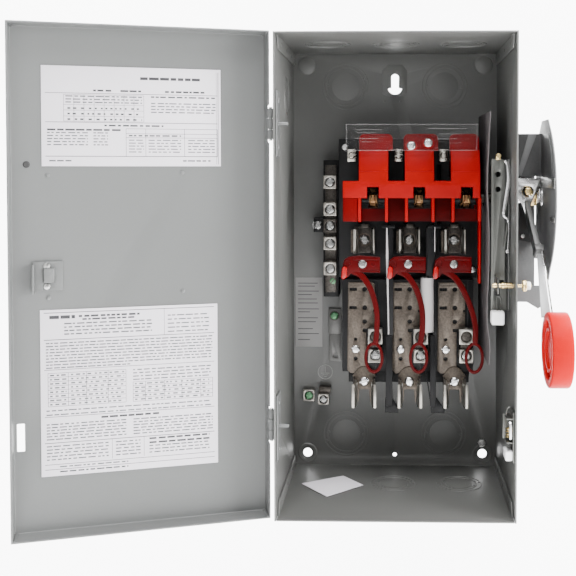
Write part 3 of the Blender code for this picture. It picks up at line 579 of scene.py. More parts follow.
def ink_mesh(bars, y):
    bm = bmesh.new()
    for x0, x1, z0, z1 in bars:
        if x1 - x0 > 0.05 and z1 - z0 > 0.05:
            add_box(bm, (x0, y - 0.02, z0), (x1, y + 0.05, z1))
    bmesh.ops.recalc_face_normals(bm, faces=bm.faces)
    return bm


ink_y = inner_face + 0.42
for key, (xa, xb), (z0, z1) in (("upper_label", (-291.0, -151.0), (94.6, 177.6)), ("lower_label", (-293.5, -154.5), (-163.5, -24.4))):
    a, b = door_x(xa), door_x(xb)
    lab = (a, b, z0, z1)
    lo, hi = sorted((a, b))
    sheet = [(shape(box((lo, inner_face, z0), (hi, inner_face + 0.4, z1)), bevel=0.12), PAPER)]
    dark, soft = [], []

    def rule(u0, u1, v, h=0.0035, to=None):
        ink_bar(to if to is not None else dark, *lab, u0, v - h / 2, u1, v + h / 2)

    def post(u, v0, v1, w=0.0022):
        ink_bar(dark, *lab, u - w / 2, v0, u + w / 2, v1)
    if key == "upper_label":
        words(dark, lab, 0.54, 0.89, 0.11, 0.028, word=(0.03, 0.07))
        for u0, u1 in ((0.28, 0.38), (0.43, 0.55), (0.68, 0.92)):
            words(dark, lab, u0, u1, 0.24, 0.018)
        rule(0.02, 0.98, 0.27, 0.005)
        for v in (0.30, 0.33, 0.36):
            words(soft, lab, 0.13, 0.55, v, 0.012)
        for v in (0.285, 0.385, 0.44, 0.50, 0.55):
            rule(0.12, 0.56, v, 0.003)
        for i in range(9):
            post(0.12 + 0.055 * i, 0.285, 0.55, 0.0018)
        for v in (0.42, 0.475, 0.53):
            words(dark, lab, 0.14, 0.55, v, 0.016, word=(0.01, 0.02), density=0.4)
        words(dark, lab, 0.60, 0.98, 0.295, 0.014)
        for i in range(4):
            words(soft, lab, 0.60, 0.97, 0.36 + 0.03 * i, 0.011)
        rule(0.02, 0.98, 0.56, 0.005)
        words(dark, lab, 0.34, 0.67, 0.59, 0.016)
        words(dark, lab, 0.03, 0.43, 0.635, 0.018, word=(0.03, 0.06))
        for i in range(5):
            words(soft, lab, 0.03, 0.25, 0.665 + 0.03 * i, 0.011)
            words(soft, lab, 0.28, 0.36, 0.665 + 0.03 * i, 0.011)
        for v in (0.62, 0.67, 0.71, 0.90):
            rule(0.46, 0.98, v, 0.004)
        for u in (0.46, 0.57, 0.79, 0.98):
            post(u, 0.62, 0.90)
        for i in range(5):
            words(soft, lab, 0.475, 0.56, 0.735 + 0.03 * i, 0.010)
            words(soft, lab, 0.585, 0.77, 0.735 + 0.03 * i, 0.010)
            words(soft, lab, 0.81, 0.965, 0.735 + 0.03 * i, 0.010)
        words(dark, lab, 0.475, 0.77, 0.69, 0.014)
        rule(0.02, 0.98, 0.90, 0.006)
        words(soft, lab, 0.04, 0.16, 0.945, 0.014)
        words(soft, lab, 0.78, 0.94, 0.945, 0.014)
        post(0.985, 0.03, 0.98, 0.003)
        post(0.975, 0.03, 0.98, 0.0014)
    else:
        rule(0.02, 0.98, 0.018, 0.004)
        words(dark, lab, 0.05, 0.19, 0.045, 0.020, word=(0.04, 0.06))
        words(dark, lab, 0.21, 0.55, 0.043, 0.012)
        words(dark, lab, 0.23, 0.52, 0.062, 0.010)
        for i in range(4):
            words(soft, lab, 0.13, 0.62, 0.085 + 0.021 * i, 0.008)
        post(0.69, 0.02, 0.18)
        for i in range(5):
            words(soft, lab, 0.71, 0.95, 0.06 + 0.025 * i, 0.007)
        rule(0.02, 0.98, 0.18, 0.004)
        for i in range(9):
            words(soft, lab, 0.03, 0.97 if i < 8 else 0.5, 0.20 + 0.0185 * i, 0.007, density=1.2)
        rule(0.02, 0.98, 0.36, 0.003)
        for i in range(9):
            rule(0.04, 0.47, 0.38 + 0.025 * i, 0.0022)
            if i < 8:
                words(dark if i == 0 else soft, lab, 0.05, 0.14, 0.393 + 0.025 * i, 0.008, word=(0.01, 0.03), density=0.7)
                words(soft, lab, 0.165, 0.46, 0.393 + 0.025 * i, 0.008, word=(0.01, 0.025), density=0.5)
        for u in (0.04, 0.15, 0.25, 0.37, 0.47):
            post(u, 0.38, 0.58)
        for i in range(4):
            words(soft, lab, 0.51, 0.96, 0.385 + 0.02 * i, 0.007)
        for i in range(6):
            rule(0.51, 0.97, 0.46 + 0.024 * i, 0.0022)
            if i < 5:
                words(soft, lab, 0.52, 0.95, 0.472 + 0.024 * i, 0.008, word=(0.01, 0.03), density=0.5)
        for u in (0.51, 0.58, 0.69, 0.79, 0.90, 0.97):
            post(u, 0.46, 0.58)
        for v in (0.605, 0.63):
            words(soft, lab, 0.03, 0.96, v, 0.007)
        rule(0.02, 0.98, 0.643, 0.003)
        words(dark, lab, 0.33, 0.66, 0.662, 0.012, word=(0.03, 0.05))
        for i in range(6):
            words(soft, lab, 0.03, 0.47, 0.688 + 0.018 * i, 0.007)
            words(soft, lab, 0.51, 0.97, 0.688 + 0.018 * i, 0.007)
        rule(0.02, 0.98, 0.80, 0.004)
        for u in (0.39, 0.57):
            post(u, 0.80, 0.92)
        for v in (0.815, 0.84):
            words(dark, lab, 0.60, 0.95, v, 0.011, word=(0.03, 0.05))
        for i in range(5):
            words(soft, lab, 0.03, 0.37, 0.82 + 0.02 * i, 0.007)
            words(soft, lab, 0.41, 0.55, 0.82 + 0.02 * i, 0.007)
            if i > 1:
                words(soft, lab, 0.60, 0.95, 0.82 + 0.02 * i, 0.007)
        rule(0.02, 0.98, 0.93, 0.003)
        words(soft, lab, 0.10, 0.48, 0.945, 0.007)
        rule(0.02, 0.98, 0.96, 0.003)
        words(dark, lab, 0.10, 0.48, 0.975, 0.008)
    sheet.append((ink_mesh(dark, ink_y), INK))
    sheet.append((ink_mesh(soft, ink_y), INK_SOFT))
    piece(key + "_print", "door", PAPER, sheet, [key], xform=SWING)

# ------------------------------------------------------------------ hinges
for name, hz in (("upper", 131.0), ("lower", -129.0)):
    wall = -HALF_W + STEEL + 0.3
    leaf = [shape(box((wall, -148, hz - 28), (wall + 1.5, -127, hz + 28)), bevel=0.5),
            shape(box((HINGE_X + 2.2, HINGE_Y - 1.25, hz - 4.6), (wall + 1, HINGE_Y + 1.25, hz + 4.6)), bevel=0.25),
            shape(lathe([(1.85, -4.6), (3.0, -4.6), (3.0, 4.6), (1.85, 4.6)], Matrix.Translation((HINGE_X, HINGE_Y, hz)), 28), bevel=0),
            shape(lathe([(0, 0), (1.6, 0), (1.6, 7.4), (1.2, 8.2), (0, 8.4)], facing((1, 0, 0), (wall + 1.5, -138, hz)), 22), bevel=0)]
    for z in (hz - 20, hz + 20):
        leaf.append(shape(lathe([(0, 0), (2.4, 0), (2.1, 0.7), (1.2, 1.0), (0, 1.1)], facing((1, 0, 0), (wall + 1.5, -138, z)), 20), bevel=0))
    piece(f"hinge_{name}", "cabinet", GREY, leaf, [f"hinge_leaf_{name}"])
    pin = lathe([(0, -14.5), (1.2, -14.5), (1.5, -14.1), (1.5, 14.1), (1.2, 14.5), (0, 14.5)], Matrix.Translation((HINGE_X, HINGE_Y, hz)), 24)
    piece(f"pin_{name}", "cabinet", ZINC, [shape(pin, bevel=0)], [f"hinge_pin_{name}"])

# ------------------------------------------------------------------ switch and fuse bases
cuts = [box((x - 1.5, BASE_F - 3, 40), (x + 1.5, BASE_F + 10, 96)) for x in (-33.0, 10.0, 42.0)]
base = [shape(box((-54, BASE_F, -12), (80, -STEEL - 0.3, 121)), cuts, bevel=0.8)]
for x in (-48, 74):
    for z in (-4, 113):
        base.append(shape(lathe([(0, -0.2), (4.2, -0.2), (4.2, 0.5), (3.6, 0.8), (0, 0.8)], facing((0, -1, 0), (x, BASE_F, z)), 30), bevel=0))
piece("switch_body", "cabinet", BLACK, base, ["switch_base"])
piece("switch_screws", "cabinet", ZINC, [s for x in (-48, 74) for z in (-4, 113) for s in screw((x, BASE_F - 0.7, z), r=3.0, h=1.7, spin=x * z)])
load = [shape(box((-50, LOAD_F, -100), (74, -STEEL - 0.3, -12.4)), bevel=0.8), shape(box((-44, LOAD_F, -110), (70, -STEEL - 0.3, -99)), bevel=0.8)]
for x in (-39, -17.5, 3.5, 24.5, 45.5, 69):
    load.append(shape(box((x - 1.0, LOAD_F - 0.9, -98), (x + 1.0, LOAD_F + 1, -14)), bevel=0.35))
piece("load_body", "cabinet", BLACK, load, ["load_base"])

# ------------------------------------------------------------------ red arc shield
RED_F, RED_IN = -92.0, -89.8
SKIRT = -84.5
TOWERS = ((-32.9, -6.3), (8.7, 35.1), (50.4, 76.6))
side_out = [(BASE_F - 0.3, 58), (BASE_F - 0.3, 80.4), (RED_IN - 0.5, 80.4), (RED_IN - 0.5, 46), (-80, 46)]
narrow = [box((x - 5.3, RED_F - 5, 60), (x + 5.3, RED_IN + 5, 75.9)) for x in (-20.2, 21.8, 64.8)]
band = [(-47.4, 65.9), (-47.4, 81.4)]
for x0, x1 in TOWERS:
    band += [(x0, 81.4), (x0, 90.2), (x1, 90.2)]
    if x1 < 70:
        band.append((x1, 81.4))
band += [(76.8, 90.2), (76.8, 65.9)]
band = [p for i, p in enumerate(band) if i == 0 or math.dist(p, band[i - 1]) > 0.3]
wide = [box((x - 10.4, -100, 56.0), (x + 10.4, -70, 70)) for x in (-20.2, 21.8, 64.8)]
# The set-back skirt, its lip and its left end take darkened copies of the red moulding as painted shade.
red = [shape(prism("y", band, RED_F, RED_IN), narrow, bevel=0.4),
       (shape(prism("y", [(-46.6, 44.6), (-46.6, 66.2), (76.6, 66.2), (76.6, 44.6)], SKIRT, SKIRT + 1.8), wide, bevel=0.3), RED_DARK),
       (shape(prism("x", [(RED_F + 0.4, 65.6), (RED_F + 0.4, 67.2), (SKIRT, 67.2), (SKIRT, 65.6)], -47.0, 76.6),
             [box((x - 5.3, -100, 60), (x + 5.3, -70, 75.9)) for x in (-20.2, 21.8, 64.8)], bevel=0.25), RED_DARK),
       shape(prism("x", side_out, -47.4, -45.4), bevel=0.35),
       shape(prism("x", side_out, 74.8, 76.8), [cyl("x", (76, SHAFT_Y, SHAFT_Z), 7.0, 8)], bevel=0.35),
       (shape(box((-47.2, RED_F + 0.6, 44.6), (-34.2, RED_F + 2.2, 66.2)), bevel=0.3), RED_HALF_SHADED)]
# Stiffening ribs stand from the set-back skirt out to the front of the band.
for x0, x1 in ((-33.8, -31.0), (-9.3, -6.5), (8.8, 11.6), (32.8, 35.6), (50.9, 53.7), (75.0, 77.6)):
    red.append(shape(prism("x", [(RED_F + 0.1, 66.4), (RED_F + 0.1, 46), (RED_F + 1.2, 44.2), (-72, 44.2), (-72, 66.4)], x0, x1), bevel=0.45))
for x0, x1 in TOWERS:
    wide_x = x1 + (4.0 if x0 < 40 else -0.5)
    slant = [(RED_F + 0.2, 89.6), (-84.6, 109.6), (-82.6, 109.6), (-88.5, 89.6)]
    red.append(shape(prism("x", slant, x0, x1), bevel=0.3))
    left = x0 - (0.9 if x0 > 0 else 0)
    r = 4.5
    face = [(left, 108.8), (wide_x, 108.8), (wide_x, 124.6 - r)] + arc(wide_x - r, 124.6 - r, r, 0, 90, 6) + arc(left + r, 124.6 - r, r, 90, 180, 6)

    def cap(bm, face=face):
        add_prism(bm, "y", face, -1.0, 1.0)
        turn = Matrix.Translation((0, -83.2, 109.0)) @ Matrix.Rotation(math.radians(-14), 4, "X") @ Matrix.Translation((0, 0, -109.0))
        bmesh.ops.transform(bm, matrix=turn, verts=bm.verts)
    # The tower caps take the half-shaded red: painted shade on the moulding.
    red.append((shape(cap, bevel=0.4), RED_HALF_SHADED))
    # The tower's cheeks run back to the base.
    for xa in (x0, x1 - 1.6):
        cheek = [(RED_F + 1, 84), (RED_F + 1.2, 90), (-84.2, 109.4), (-80.5, 121.5), (-66, 116), (-56, 100), (-56, 84)]
        red.append((shape(prism("x", cheek, xa, xa + 1.6), bevel=0.25), RED_DARK))
for x0, x1 in ((-6.3, 8.7), (35.1, 50.4)):
    red.append(shape(prism("x", [(RED_F + 0.6, 79.8), (RED_F + 0.6, 81.4), (-60, 81.4), (-60, 79.8)], x0, x1), bevel=0.25))
piece("red_shield", "cabinet", RED, red, ["arc_shield"])
# A long red rib that runs down beside the right-hand pole.
piece("red_side_rib", "cabinet", RED, [shape(box((76.0, -85.5, -12), (77.9, -74, 45.0)), bevel=0.5)])
for i, (x, z, n) in enumerate(((14.6, 113.4, 0.9), (30.2, 116.0, 2.1))):
    slope = Vector((0, -math.cos(math.radians(14)), math.sin(math.radians(14)))).normalized()
    at = Vector((x, -84.3 + (z - 109.0) * math.tan(math.radians(14)), z))
    parts = screw(at, r=4.2, h=2.2, normal=slope, spin=n)
    parts.append((shape(lathe([(4.3, -0.2), (5.4, -0.2), (5.2, 0.55), (4.5, 0.6)], facing(slope, at), 30), bevel=0), RED))
    piece(f"shield_screw_{i + 1}", "cabinet", BRIGHT, parts)
# Brass contact fingers stand in each window.
for pole, x in zip("abc", (-20.2, 21.8, 64.8)):
    fingers = []
    for s in (-1, 1):
        pts = smooth_path([(x + s * 4.2, -80.5, 75), (x + s * 2.2, -84.5, 70.5), (x + s * 1.4, -85.5, 66), (x + s * 2.6, -84.5, 61.5), (x + s * 3.6, -80.5, 58)], 5)
        fingers.append(shape(tube(pts, 0.9, 8, flat=(1.4, 0.65)), bevel=0))
    piece(f"contact_fingers_{pole}", "cabinet", CONTACT, fingers)

# The clear cover over the line lugs: thin pane, brighter moulded edges, a few embossed marks.
pane = [shape(box((-44.4, -90.6, 109.0), (73.6, -90.0, 132.6)), bevel=0.1),
        shape(box((-44.4, -90.2, 112), (-43.8, BASE_F - 0.3, 120)), bevel=0.1), shape(box((43.4, -90.2, 112), (44.0, BASE_F - 0.3, 120)), bevel=0.1)]
for lo, hi in (((-44.6, -90.8, 132.3), (73.8, -89.9, 132.8)), ((-44.6, -90.8, 108.8), (73.8, -89.9, 109.3)),
               ((-44.6, -90.8, 109), (-44.1, -89.9, 132.6)), ((73.3, -90.8, 109), (73.8, -89.9, 132.6))):
    pane.append((shape(box(lo, hi), bevel=0.1), CLEAR_EDGE))
for x0, w, zz in ((-36, 24, 127.5), (-34, 16, 124.8), (-36, 20, 119.5), (-30, 10, 116.6), (30, 34, 128.4), (40, 20, 123.6), (38, 18, 119.2), (48, 12, 115.5)):
    x = x0
    while x < x0 + w:
        step = RNG.uniform(1.2, 3.6)
        pane.append((shape(box((x, -90.75, zz), (min(x + step, x0 + w), -90.55, zz + 0.55)), bevel=0), CLEAR_MARK))
        x += step + 0.8
piece("clear_cover", "cabinet", CLEAR, pane, ["line_shield"])

# ------------------------------------------------------------------ rotor and its blades
shaft = [shape(lathe([(0, -62.25), (5.4, -62.25), (6.0, -61.6), (6.0, 61.6), (5.4, 62.25), (0, 62.25)], facing((1, 0, 0), (17.75, SHAFT_Y, SHAFT_Z)), 40), bevel=0)]
piece("rotor_bar", "rotor", BLACK, shaft, ["rotor_shaft"])
for pole, x in zip("abc", (-20.2, 21.8, 64.8)):
    blade = [shape(lathe([(6.4, -4), (9.1, -4), (9.5, -3.6), (9.5, 3.6), (9.1, 4), (6.4, 4)], facing((1, 0, 0), (x, SHAFT_Y, SHAFT_Z)), 40), bevel=0),
             shape(prism("x", [(SHAFT_Y - 7, 60), (SHAFT_Y - 7, 70), (-84, 70), (-86, 68), (-86, 62), (-84, 60)], x - 3.5, x + 3.5), bevel=0.4)]
    piece(f"blade_{pole}", "rotor", COPPER, blade, [f"contact_blade_{pole}"])
for pole, x in zip("abc", (-40.7, 3.4, 45.6)):
    body = shape(box((x - 4.2, BASE_F - 14, 99), (x + 4.2, BASE_F - 0.3, 111)), [cyl("z", (x, BASE_F - 7, 105), 2.6, 30)], bevel=0.5)
    piece(f"line_connector_{pole}", "cabinet", TIN_CLEAN, [body] + screw((x, BASE_F - 14, 105), r=3.4, h=2.0, spin=x), [f"line_lug_{pole}"])

# ------------------------------------------------------------------ fuse clips, plates, lugs
for pole, x in POLES:
    y0, y1 = BASE_F - 0.3, LOAD_F - 0.3

    def jaw(xa, sgn, ya, z0, z1, t=1.3):
        """A sprung jaw: a leg that bows in at the middle and flares at the mouth."""
        line_pts = [(xa, ya), (xa - sgn * 0.2, ya - 6), (xa + sgn * 1.1, ya - 12), (xa + sgn * 0.1, ya - 18), (xa - sgn * 1.4, ya - 21.5)]
        return shape(prism("z", line_pts + [(u - sgn * t, v) for u, v in line_pts][::-1], z0, z1), bevel=0.25)
    # Upper clip: a dark base plate, two bright jaws, a wider steel back spring, a slotted screw.
    clip = [(shape(box((x - 10, y0 - 2, 12), (x + 10, y0, 37)), bevel=0.4), TIN_DARK),
            (shape(prism("y", [(x - 7, 12.5), (x - 7, 36.5), (x - 4.5, 38), (x + 4.5, 38), (x + 7, 36.5), (x + 7, 12.5)], y0 - 3.6, y0 - 1.6), bevel=0.35), TIN_DARK),
            jaw(x - 6.4, 1, y0 - 1.5, 13, 36, 2.2), jaw(x + 7.0, -1, y0 - 1.5, 13, 36),
            (shape(box((x - 12.6, y0 - 14, 13.5), (x - 9.8, y0 - 0.5, 34.5)), bevel=0.35), TIN),
            (shape(box((x - 3.2, y0 - 6, 36.2), (x + 4.2, y0 - 2, 40.0)), bevel=0.4), TIN_DARK),
            (shape(lathe([(4.6, 0), (6.4, 0), (6.5, 0.8), (4.6, 1.0)], facing((0, -1, 0), (x, y0 - 3.4, 25.0)), 30), bevel=0), TIN)]
    clip += [(b, STEEL_SCREW) for b in screw((x, y0 - 3.4, 25.0), r=4.8, h=3.0, spin=0.35 + x)]
    piece(f"upper_clip_{pole}", "cabinet", JAW, clip, [f"fuse_clip_upper_{pole}"])
    # Bus plate with its punched holes; it narrows beside the connector.
    holes = [box((x - 14.0, y1 - 5, z - 1.5), (x - 7.0, y1 + 5, z + 1.5)) for z in (-21.4, -38.7)]
    holes += [cyl("y", (x + dx, y1, z), r, 12, 24) for dx, z, r in ((0.4, -21.4, 2.3), (0.4, -38.7, 2.3), (0.4, -51.9, 2.2), (-8.2, -68.8, 1.6), (-8.2, -87.2, 2.0), (-13.0, -102, 1.2))]
    outline = [(x - 15.3, -14.6), (x - 16.0, -98), (x - 13, -101), (x + 2, -101), (x + 2, -62), (x - 1.5, -62), (x - 1.5, -58.5), (x + 10, -58.5),
               (x + 10, -43), (x + 8.2, -43), (x + 8.2, -40.5), (x + 10, -40.5), (x + 10, -17), (x + 7.5, -14.6)]
    plate = [shape(prism("y", outline, y1 - 2, y1), holes, bevel=0.3),
             shape(box((x - 13.4, y1 - 2.5, -16.6), (x + 7, y1 - 1, -15.0)), bevel=0.3)]
    plate += [(b, BRIGHT) for b in screw((x - 8.2, y1 - 2, -78.2), r=3.9, h=2.0, spin=0.4 + x)]
    piece(f"bus_plate_{pole}", "cabinet", TIN, plate, [f"load_plate_{pole}"])
    dish = [(x - 6.6, -128), (x - 7.4, -112), (x - 11, -103), (x - 8.5, -100.0)] + arc(x, -104.0, 9.6, 150, 30, 8)[1:-1] + [(x + 8.5, -100.0), (x + 11, -103), (x + 7.4, -112), (x + 6.6, -128), (x + 5.4, -128), (x + 4.4, -116), (x - 4.4, -116), (x - 5.4, -128)]
    low = [(shape(prism("y", dish, y1 - 3.4, y1 - 1.6), bevel=0.4), TIN), (shape(box((x - 8.5, y1 - 2, -113), (x + 8.5, y1, -99.4)), bevel=0.35), TIN_DARK),
           jaw(x - 7.2, 1, y1 - 1.5, -129, -107, 2.4), jaw(x + 7.8, -1, y1 - 1.5, -129, -107, 2.4),
           (shape(box((x - 10.4, y1 - 12, -127), (x - 8.8, y1 - 0.5, -104)), bevel=0.35), TIN_DARK), (shape(box((x + 8.8, y1 - 12, -127), (x + 10.4, y1 - 0.5, -104)), bevel=0.35), TIN_DARK)]
    low += [(b, BRIGHT) for b in screw((x, y1 - 3.4, -108.2), r=4.5, h=2.9, spin=1.0 + x)]
    piece(f"lower_clip_{pole}", "cabinet", JAW, low, [f"fuse_clip_lower_{pole}"])
    lx, y2 = x + 10.5, y1 - 2.3
    hole_up, hole_lo = (lx + 0.2, y2, -64.2), (lx + 0.2, y2, -81.6)
    lug = [shape(box((lx - 6.6, y2 - 11, -71.2), (lx + 6.6, y2, -57)), [cyl("y", (hole_up[0], y2 - 12, hole_up[2]), 5.4, 8, 32), cyl("z", (lx, y2 - 5.5, -73), 3.2, 60, 24)], bevel=0.6),
           shape(box((lx - 6.6, y2 - 11, -88.8), (lx + 6.6, y2, -76.2)), [cyl("y", (hole_lo[0], y2 - 12, hole_lo[2]), 4.9, 6, 32), cyl("z", (lx, y2 - 5.5, -73), 3.2, 60, 24)], bevel=0.6),
           (shape(box((lx - 5, y2 - 7, -78), (lx + 5, y2, -69)), bevel=0.3), TIN_DARK)]
    lug += [(b, TIN_DARK) for b in screw((hole_up[0], y2 - 8.2, hole_up[2]), r=5.0, h=1.9, spin=0.2 + x)]
    lug += [(b, STEEL_SCREW) for b in screw((hole_lo[0], y2 - 9.4, hole_lo[2]), r=4.4, h=2.2, spin=2.7 + x * 0.2)]
    piece(f"load_connector_{pole}", "cabinet", LUG, lug, [f"load_lug_{pole}"])

# ------------------------------------------------------------------ fuse pullers
def wavy_strap(path, widths, y_mid, thick):
    """A flat moulded strap along (x, z) points, its width changing along it."""
    dense = smooth_path([(u, 0, v) for u, v in path], 6)
    n = len(dense) - 1
    left, right = [], []
    for i, p in enumerate(dense):
        a, b = dense[max(i - 1, 0)], dense[min(i + 1, n)]
        d = (b - a).normalized()
        w = widths[0] + (widths[1] - widths[0]) * min(i / n * 1.6, 1)
        left.append((p.x - d.z * w / 2, p.z + d.x * w / 2))
        right.append((p.x + d.z * w / 2, p.z - d.x * w / 2))
    return shape(prism("y", left + right[::-1], y_mid - thick / 2, y_mid + thick / 2), bevel=0.6, seg=3, angle=50)


for pole, x, loop_x in zip("abc", (-29.5, 12.5, 54.5), (-19.5, 21.8, 73.0)):
    y_mid = -78.1
    path = [(x - 15.0, 0.5), (x - 8.0, -2.2), (x - 1.0, -6.4), (x + 7.0, -18.5), (x + 12.2, -36.4), (x + 12.8, -54), (loop_x + 1.6, -68.6)]
    if pole == "c":
        path = [(x - 13.0, 0.5), (x - 6, -3), (x + 2, -9.5), (x + 10.2, -23.4), (x + 16.6, -40), (x + 19.4, -54), (loop_x + 0.6, -68.6)]
    ring_o = [(loop_x + 8.9 * math.cos(a), -82 + 14.6 * math.sin(a)) for a in (2 * math.pi * i / 48 for i in range(48))]
    ring_i = [(loop_x + 6.2 * math.cos(a), -82 + 11.7 * math.sin(a)) for a in (2 * math.pi * i / 48 for i in range(48))]
    head = [(x - 17.5, -7.0), (x - 18.8, 3.0), (x - 17.5, 8.5), (x - 13.0, 11.6), (x - 2.0, 12.6), (x + 15.8, 11.2), (x + 15.8, -3.4), (x - 10.5, -2.6), (x - 13.5, -7.4)]
    parts = [shape(prism("y", head, y_mid - 1.5, y_mid + 1.5), bevel=0.8, seg=3),
             wavy_strap(path, (6.6, 4.9), y_mid, 2.6),
             shape(prism("y", ring_o, y_mid - 1.3, y_mid + 1.3), [prism("y", ring_i, y_mid - 5, y_mid + 5)], bevel=0.6, seg=3, angle=50),
             shape(box((x - 9.0, y_mid - 2.3, 8.4), (x + 14.5, y_mid - 0.6, 10.6)), bevel=0.6),
             shape(box((x - 2.0, y_mid - 2.3, -2.8), (x + 15.0, y_mid - 0.6, -1.2)), bevel=0.5),
             shape(lathe([(2.1, -0.2), (2.2, 0.9), (3.0, 1.0), (3.3, -0.2)], facing((0, -1, 0), (x - 14.2, y_mid - 1.4, 5.2)), 28), bevel=0),
             (shape(prism("y", [(x - 20.0, -8.4), (x - 19.4, 1.5), (x - 17.0, 3.2), (x - 14.6, 1.6), (x - 14.9, -7.4), (x - 17.6, -9.0)], y_mid - 4.6, y_mid + 0.2), bevel=1.0, seg=3), RED_GLOSS),
             (shape(lathe([(0, -0.2), (1.9, -0.2), (1.6, 0.4), (0, 0.6)], facing((0, -1, 0), (x + 9.6, y_mid - 1.4, 4.2)), 22), bevel=0), RED_STRAP)]
    piece(f"puller_{pole}", f"fuse_puller_{pole}", RED_STRAP, parts, [f"fuse_puller_{pole}"])
    piece(f"puller_screw_{pole}", f"fuse_puller_{pole}", STEEL_SCREW, screw((x - 0.5, y_mid - 1.4, 4.9), r=3.8, h=1.7, spin=0.6 + x)
          + [(shape(lathe([(3.9, -0.1), (4.7, -0.1), (4.6, 0.4), (3.9, 0.5)], facing((0, -1, 0), (x - 0.5, y_mid - 1.4, 4.9)), 28), bevel=0), RED_STRAP)])

# ------------------------------------------------------------------ barriers and sheets
for number, x in (("left", -6.2), ("right", 36.2)):
    web = [shape(box((x - 1.2, -73, -130), (x + 1.2, LOAD_F - 0.3, 40)), bevel=0.4), shape(box((x - 1.2, -60, -11.5), (x + 1.2, BASE_F - 0.3, 40)), bevel=0.4)]
    if number == "left":
        web += [shape(box((-8.6, -74.2, -128), (-2.4, -72.2, -62)), bevel=0.6), shape(box((-7.4, -74.0, -62), (-1.6, -72.2, 38)), bevel=0.6),
                shape(prism("y", [(-9.6, -134.6), (-9.0, -120), (-3.0, -120), (3.4, -130), (3.6, -134.6)], -72.8, -70.6), bevel=0.6)]
    else:
        web += [shape(box((32.6, -74.2, -128), (38.0, -72.2, -62)), bevel=0.6), shape(box((28.6, -74.4, -8.0), (37.2, -72.2, 38)), bevel=0.6),
                shape(prism("y", [(33.4, -134.6), (33.0, -124), (38.4, -120), (46.2, -131), (46.2, -134.6)], -72.8, -70.6), bevel=0.6),
                shape(prism("y", [(27.6, -92), (28.6, -92), (34.4, -128), (33.0, -128)], -72.6, -71.0), bevel=0.3)]
    web += [shape(box((x - 6.0, -74.4, 37.6), (x + 6.0, -69, 40.2)), bevel=0.5), shape(box((x - 2.2, -75.4, 34), (x - 0.8, -73.5, 38)), bevel=0.3)]
    piece(f"barrier_{number}", "cabinet", BLACK_GLOSS, web, [f"phase_barrier_{number}"])
# Fish-paper strips stand proud of the barriers' front edges.
piece("paper_strip_left", "cabinet", FIBRE_LIGHT, [shape(prism("y", [(-8.2, 38.0), (-7.0, 38.0), (-6.2, 10.0), (-5.4, -60.0), (-6.4, -61.0), (-7.4, -20.0), (-8.4, 10.0)], -77.0, -74.4), bevel=0.15)])
piece("paper_strip_right", "cabinet", FIBRE_LIGHT, [shape(prism("y", [(36.2, 39.0), (37.0, 39.0), (37.0, 16.0), (36.2, 16.0)], -75.6, -74.6), bevel=0.15)])
rolled = arc(29.8, -72.0, 6.3, 60, 340, 30) + arc(29.8, -72.0, 5.7, 340, 60, 30)
piece("rolled_sheet", "cabinet", FIBRE_LIGHT, [shape(prism("z", rolled, -58.5, -8.4), bevel=0.1, seg=1, angle=60)], ["curved_sheet"], angle=50)


def wavy(y, z, amount):
    return y + amount * (math.sin(z * 0.11) * 0.6 + math.sin(z * 0.27 + 1.3) * 0.4)


def draw_sheet(bm, nz=46, ny=12):
    """A thin fibre board whose front edge bows sideways, most near its foot."""
    outer, inner = [], []
    for i in range(nz + 1):
        z = -83 + (143.6 + 83) * i / nz
        top_y = -99 + max(0, z - 137) * 3.5
        front_y = min(wavy(-103.5, z, 1.6), top_y) if z > 137 else wavy(-103.5 + 4 * max(0, (z - 110) / 33), z, 1.6)
        row_o, row_i = [], []
        for j in range(ny + 1):
            t = j / ny
            y = -6 + (front_y + 6) * t
            lean = (t ** 3) * (1.9 * math.exp(-((z + 66) / 17) ** 2) + 0.9 * math.sin(z * 0.05 + 0.5) - 0.6) + (t ** 3) * 0.9 * max(0, (z - 90) / 50)
            row_o.append(bm.verts.new((83.0 + lean, y, z)))
            row_i.append(bm.verts.new((83.9 + lean, y, z)))
        outer.append(row_o)
        inner.append(row_i)
    for i in range(nz):
        for j in range(ny):
            bm.faces.new((outer[i][j], outer[i + 1][j], outer[i + 1][j + 1], outer[i][j + 1]))
            bm.faces.new((inner[i][j], inner[i][j + 1], inner[i + 1][j + 1], inner[i + 1][j]))
    rim = [(i, 0) for i in range(nz)] + [(nz, j) for j in range(ny)] + [(i, ny) for i in range(nz, 0, -1)] + [(0, j) for j in range(ny, 0, -1)]
    for (i0, j0), (i1, j1) in zip(rim, rim[1:] + rim[:1]):
        bm.faces.new((outer[i0][j0], inner[i0][j0], inner[i1][j1], outer[i1][j1]))


piece("fibre_board", "cabinet", FIBRE, [shape(draw_sheet, [cyl("x", (83, SHAFT_Y, SHAFT_Z), 8.0, 12)], bevel=0)], ["side_sheet"], angle=60)

# ------------------------------------------------------------------ neutral and ground
zs = (79.6, 53.5, 37.5, 20.5, -3.8)
nb = [shape(box((-70, -26, -33), (-54.8, -STEEL - 0.3, 101)), bevel=0.7), shape(box((-80, -22, 30), (-69, -STEEL - 0.3, 44)), bevel=0.7)]
nb += [(b, STEEL_SCREW) for b in screw((-75.5, -22, 37), r=4.4, h=2.4, spin=0.8, washer=True)]
piece("neutral_carrier", "cabinet", BLACK, nb, ["neutral_base"])
bar = [(shape(box((-68, -29, -28), (-57, -26.3, 96)), bevel=0.3), TIN_DARK)]
for i, z in enumerate(zs):
    m = TIN_DARK if z == 37.5 else LUG
    bar.append((shape(box((-69.0, -40, z - 6.4), (-56.4, -28, z + 6.4)), [cyl("z", (-62.6, -33.5, z), 2.6, 20, 24), cyl("y", (-62.6, -41, z), 4.6, 5, 28)], bevel=0.6), m))
    bar += [(b, STEEL_SCREW) for b in screw((-62.6, -38.9, z), r=4.2, h=1.5, spin=i * 0.9 + 0.3)]
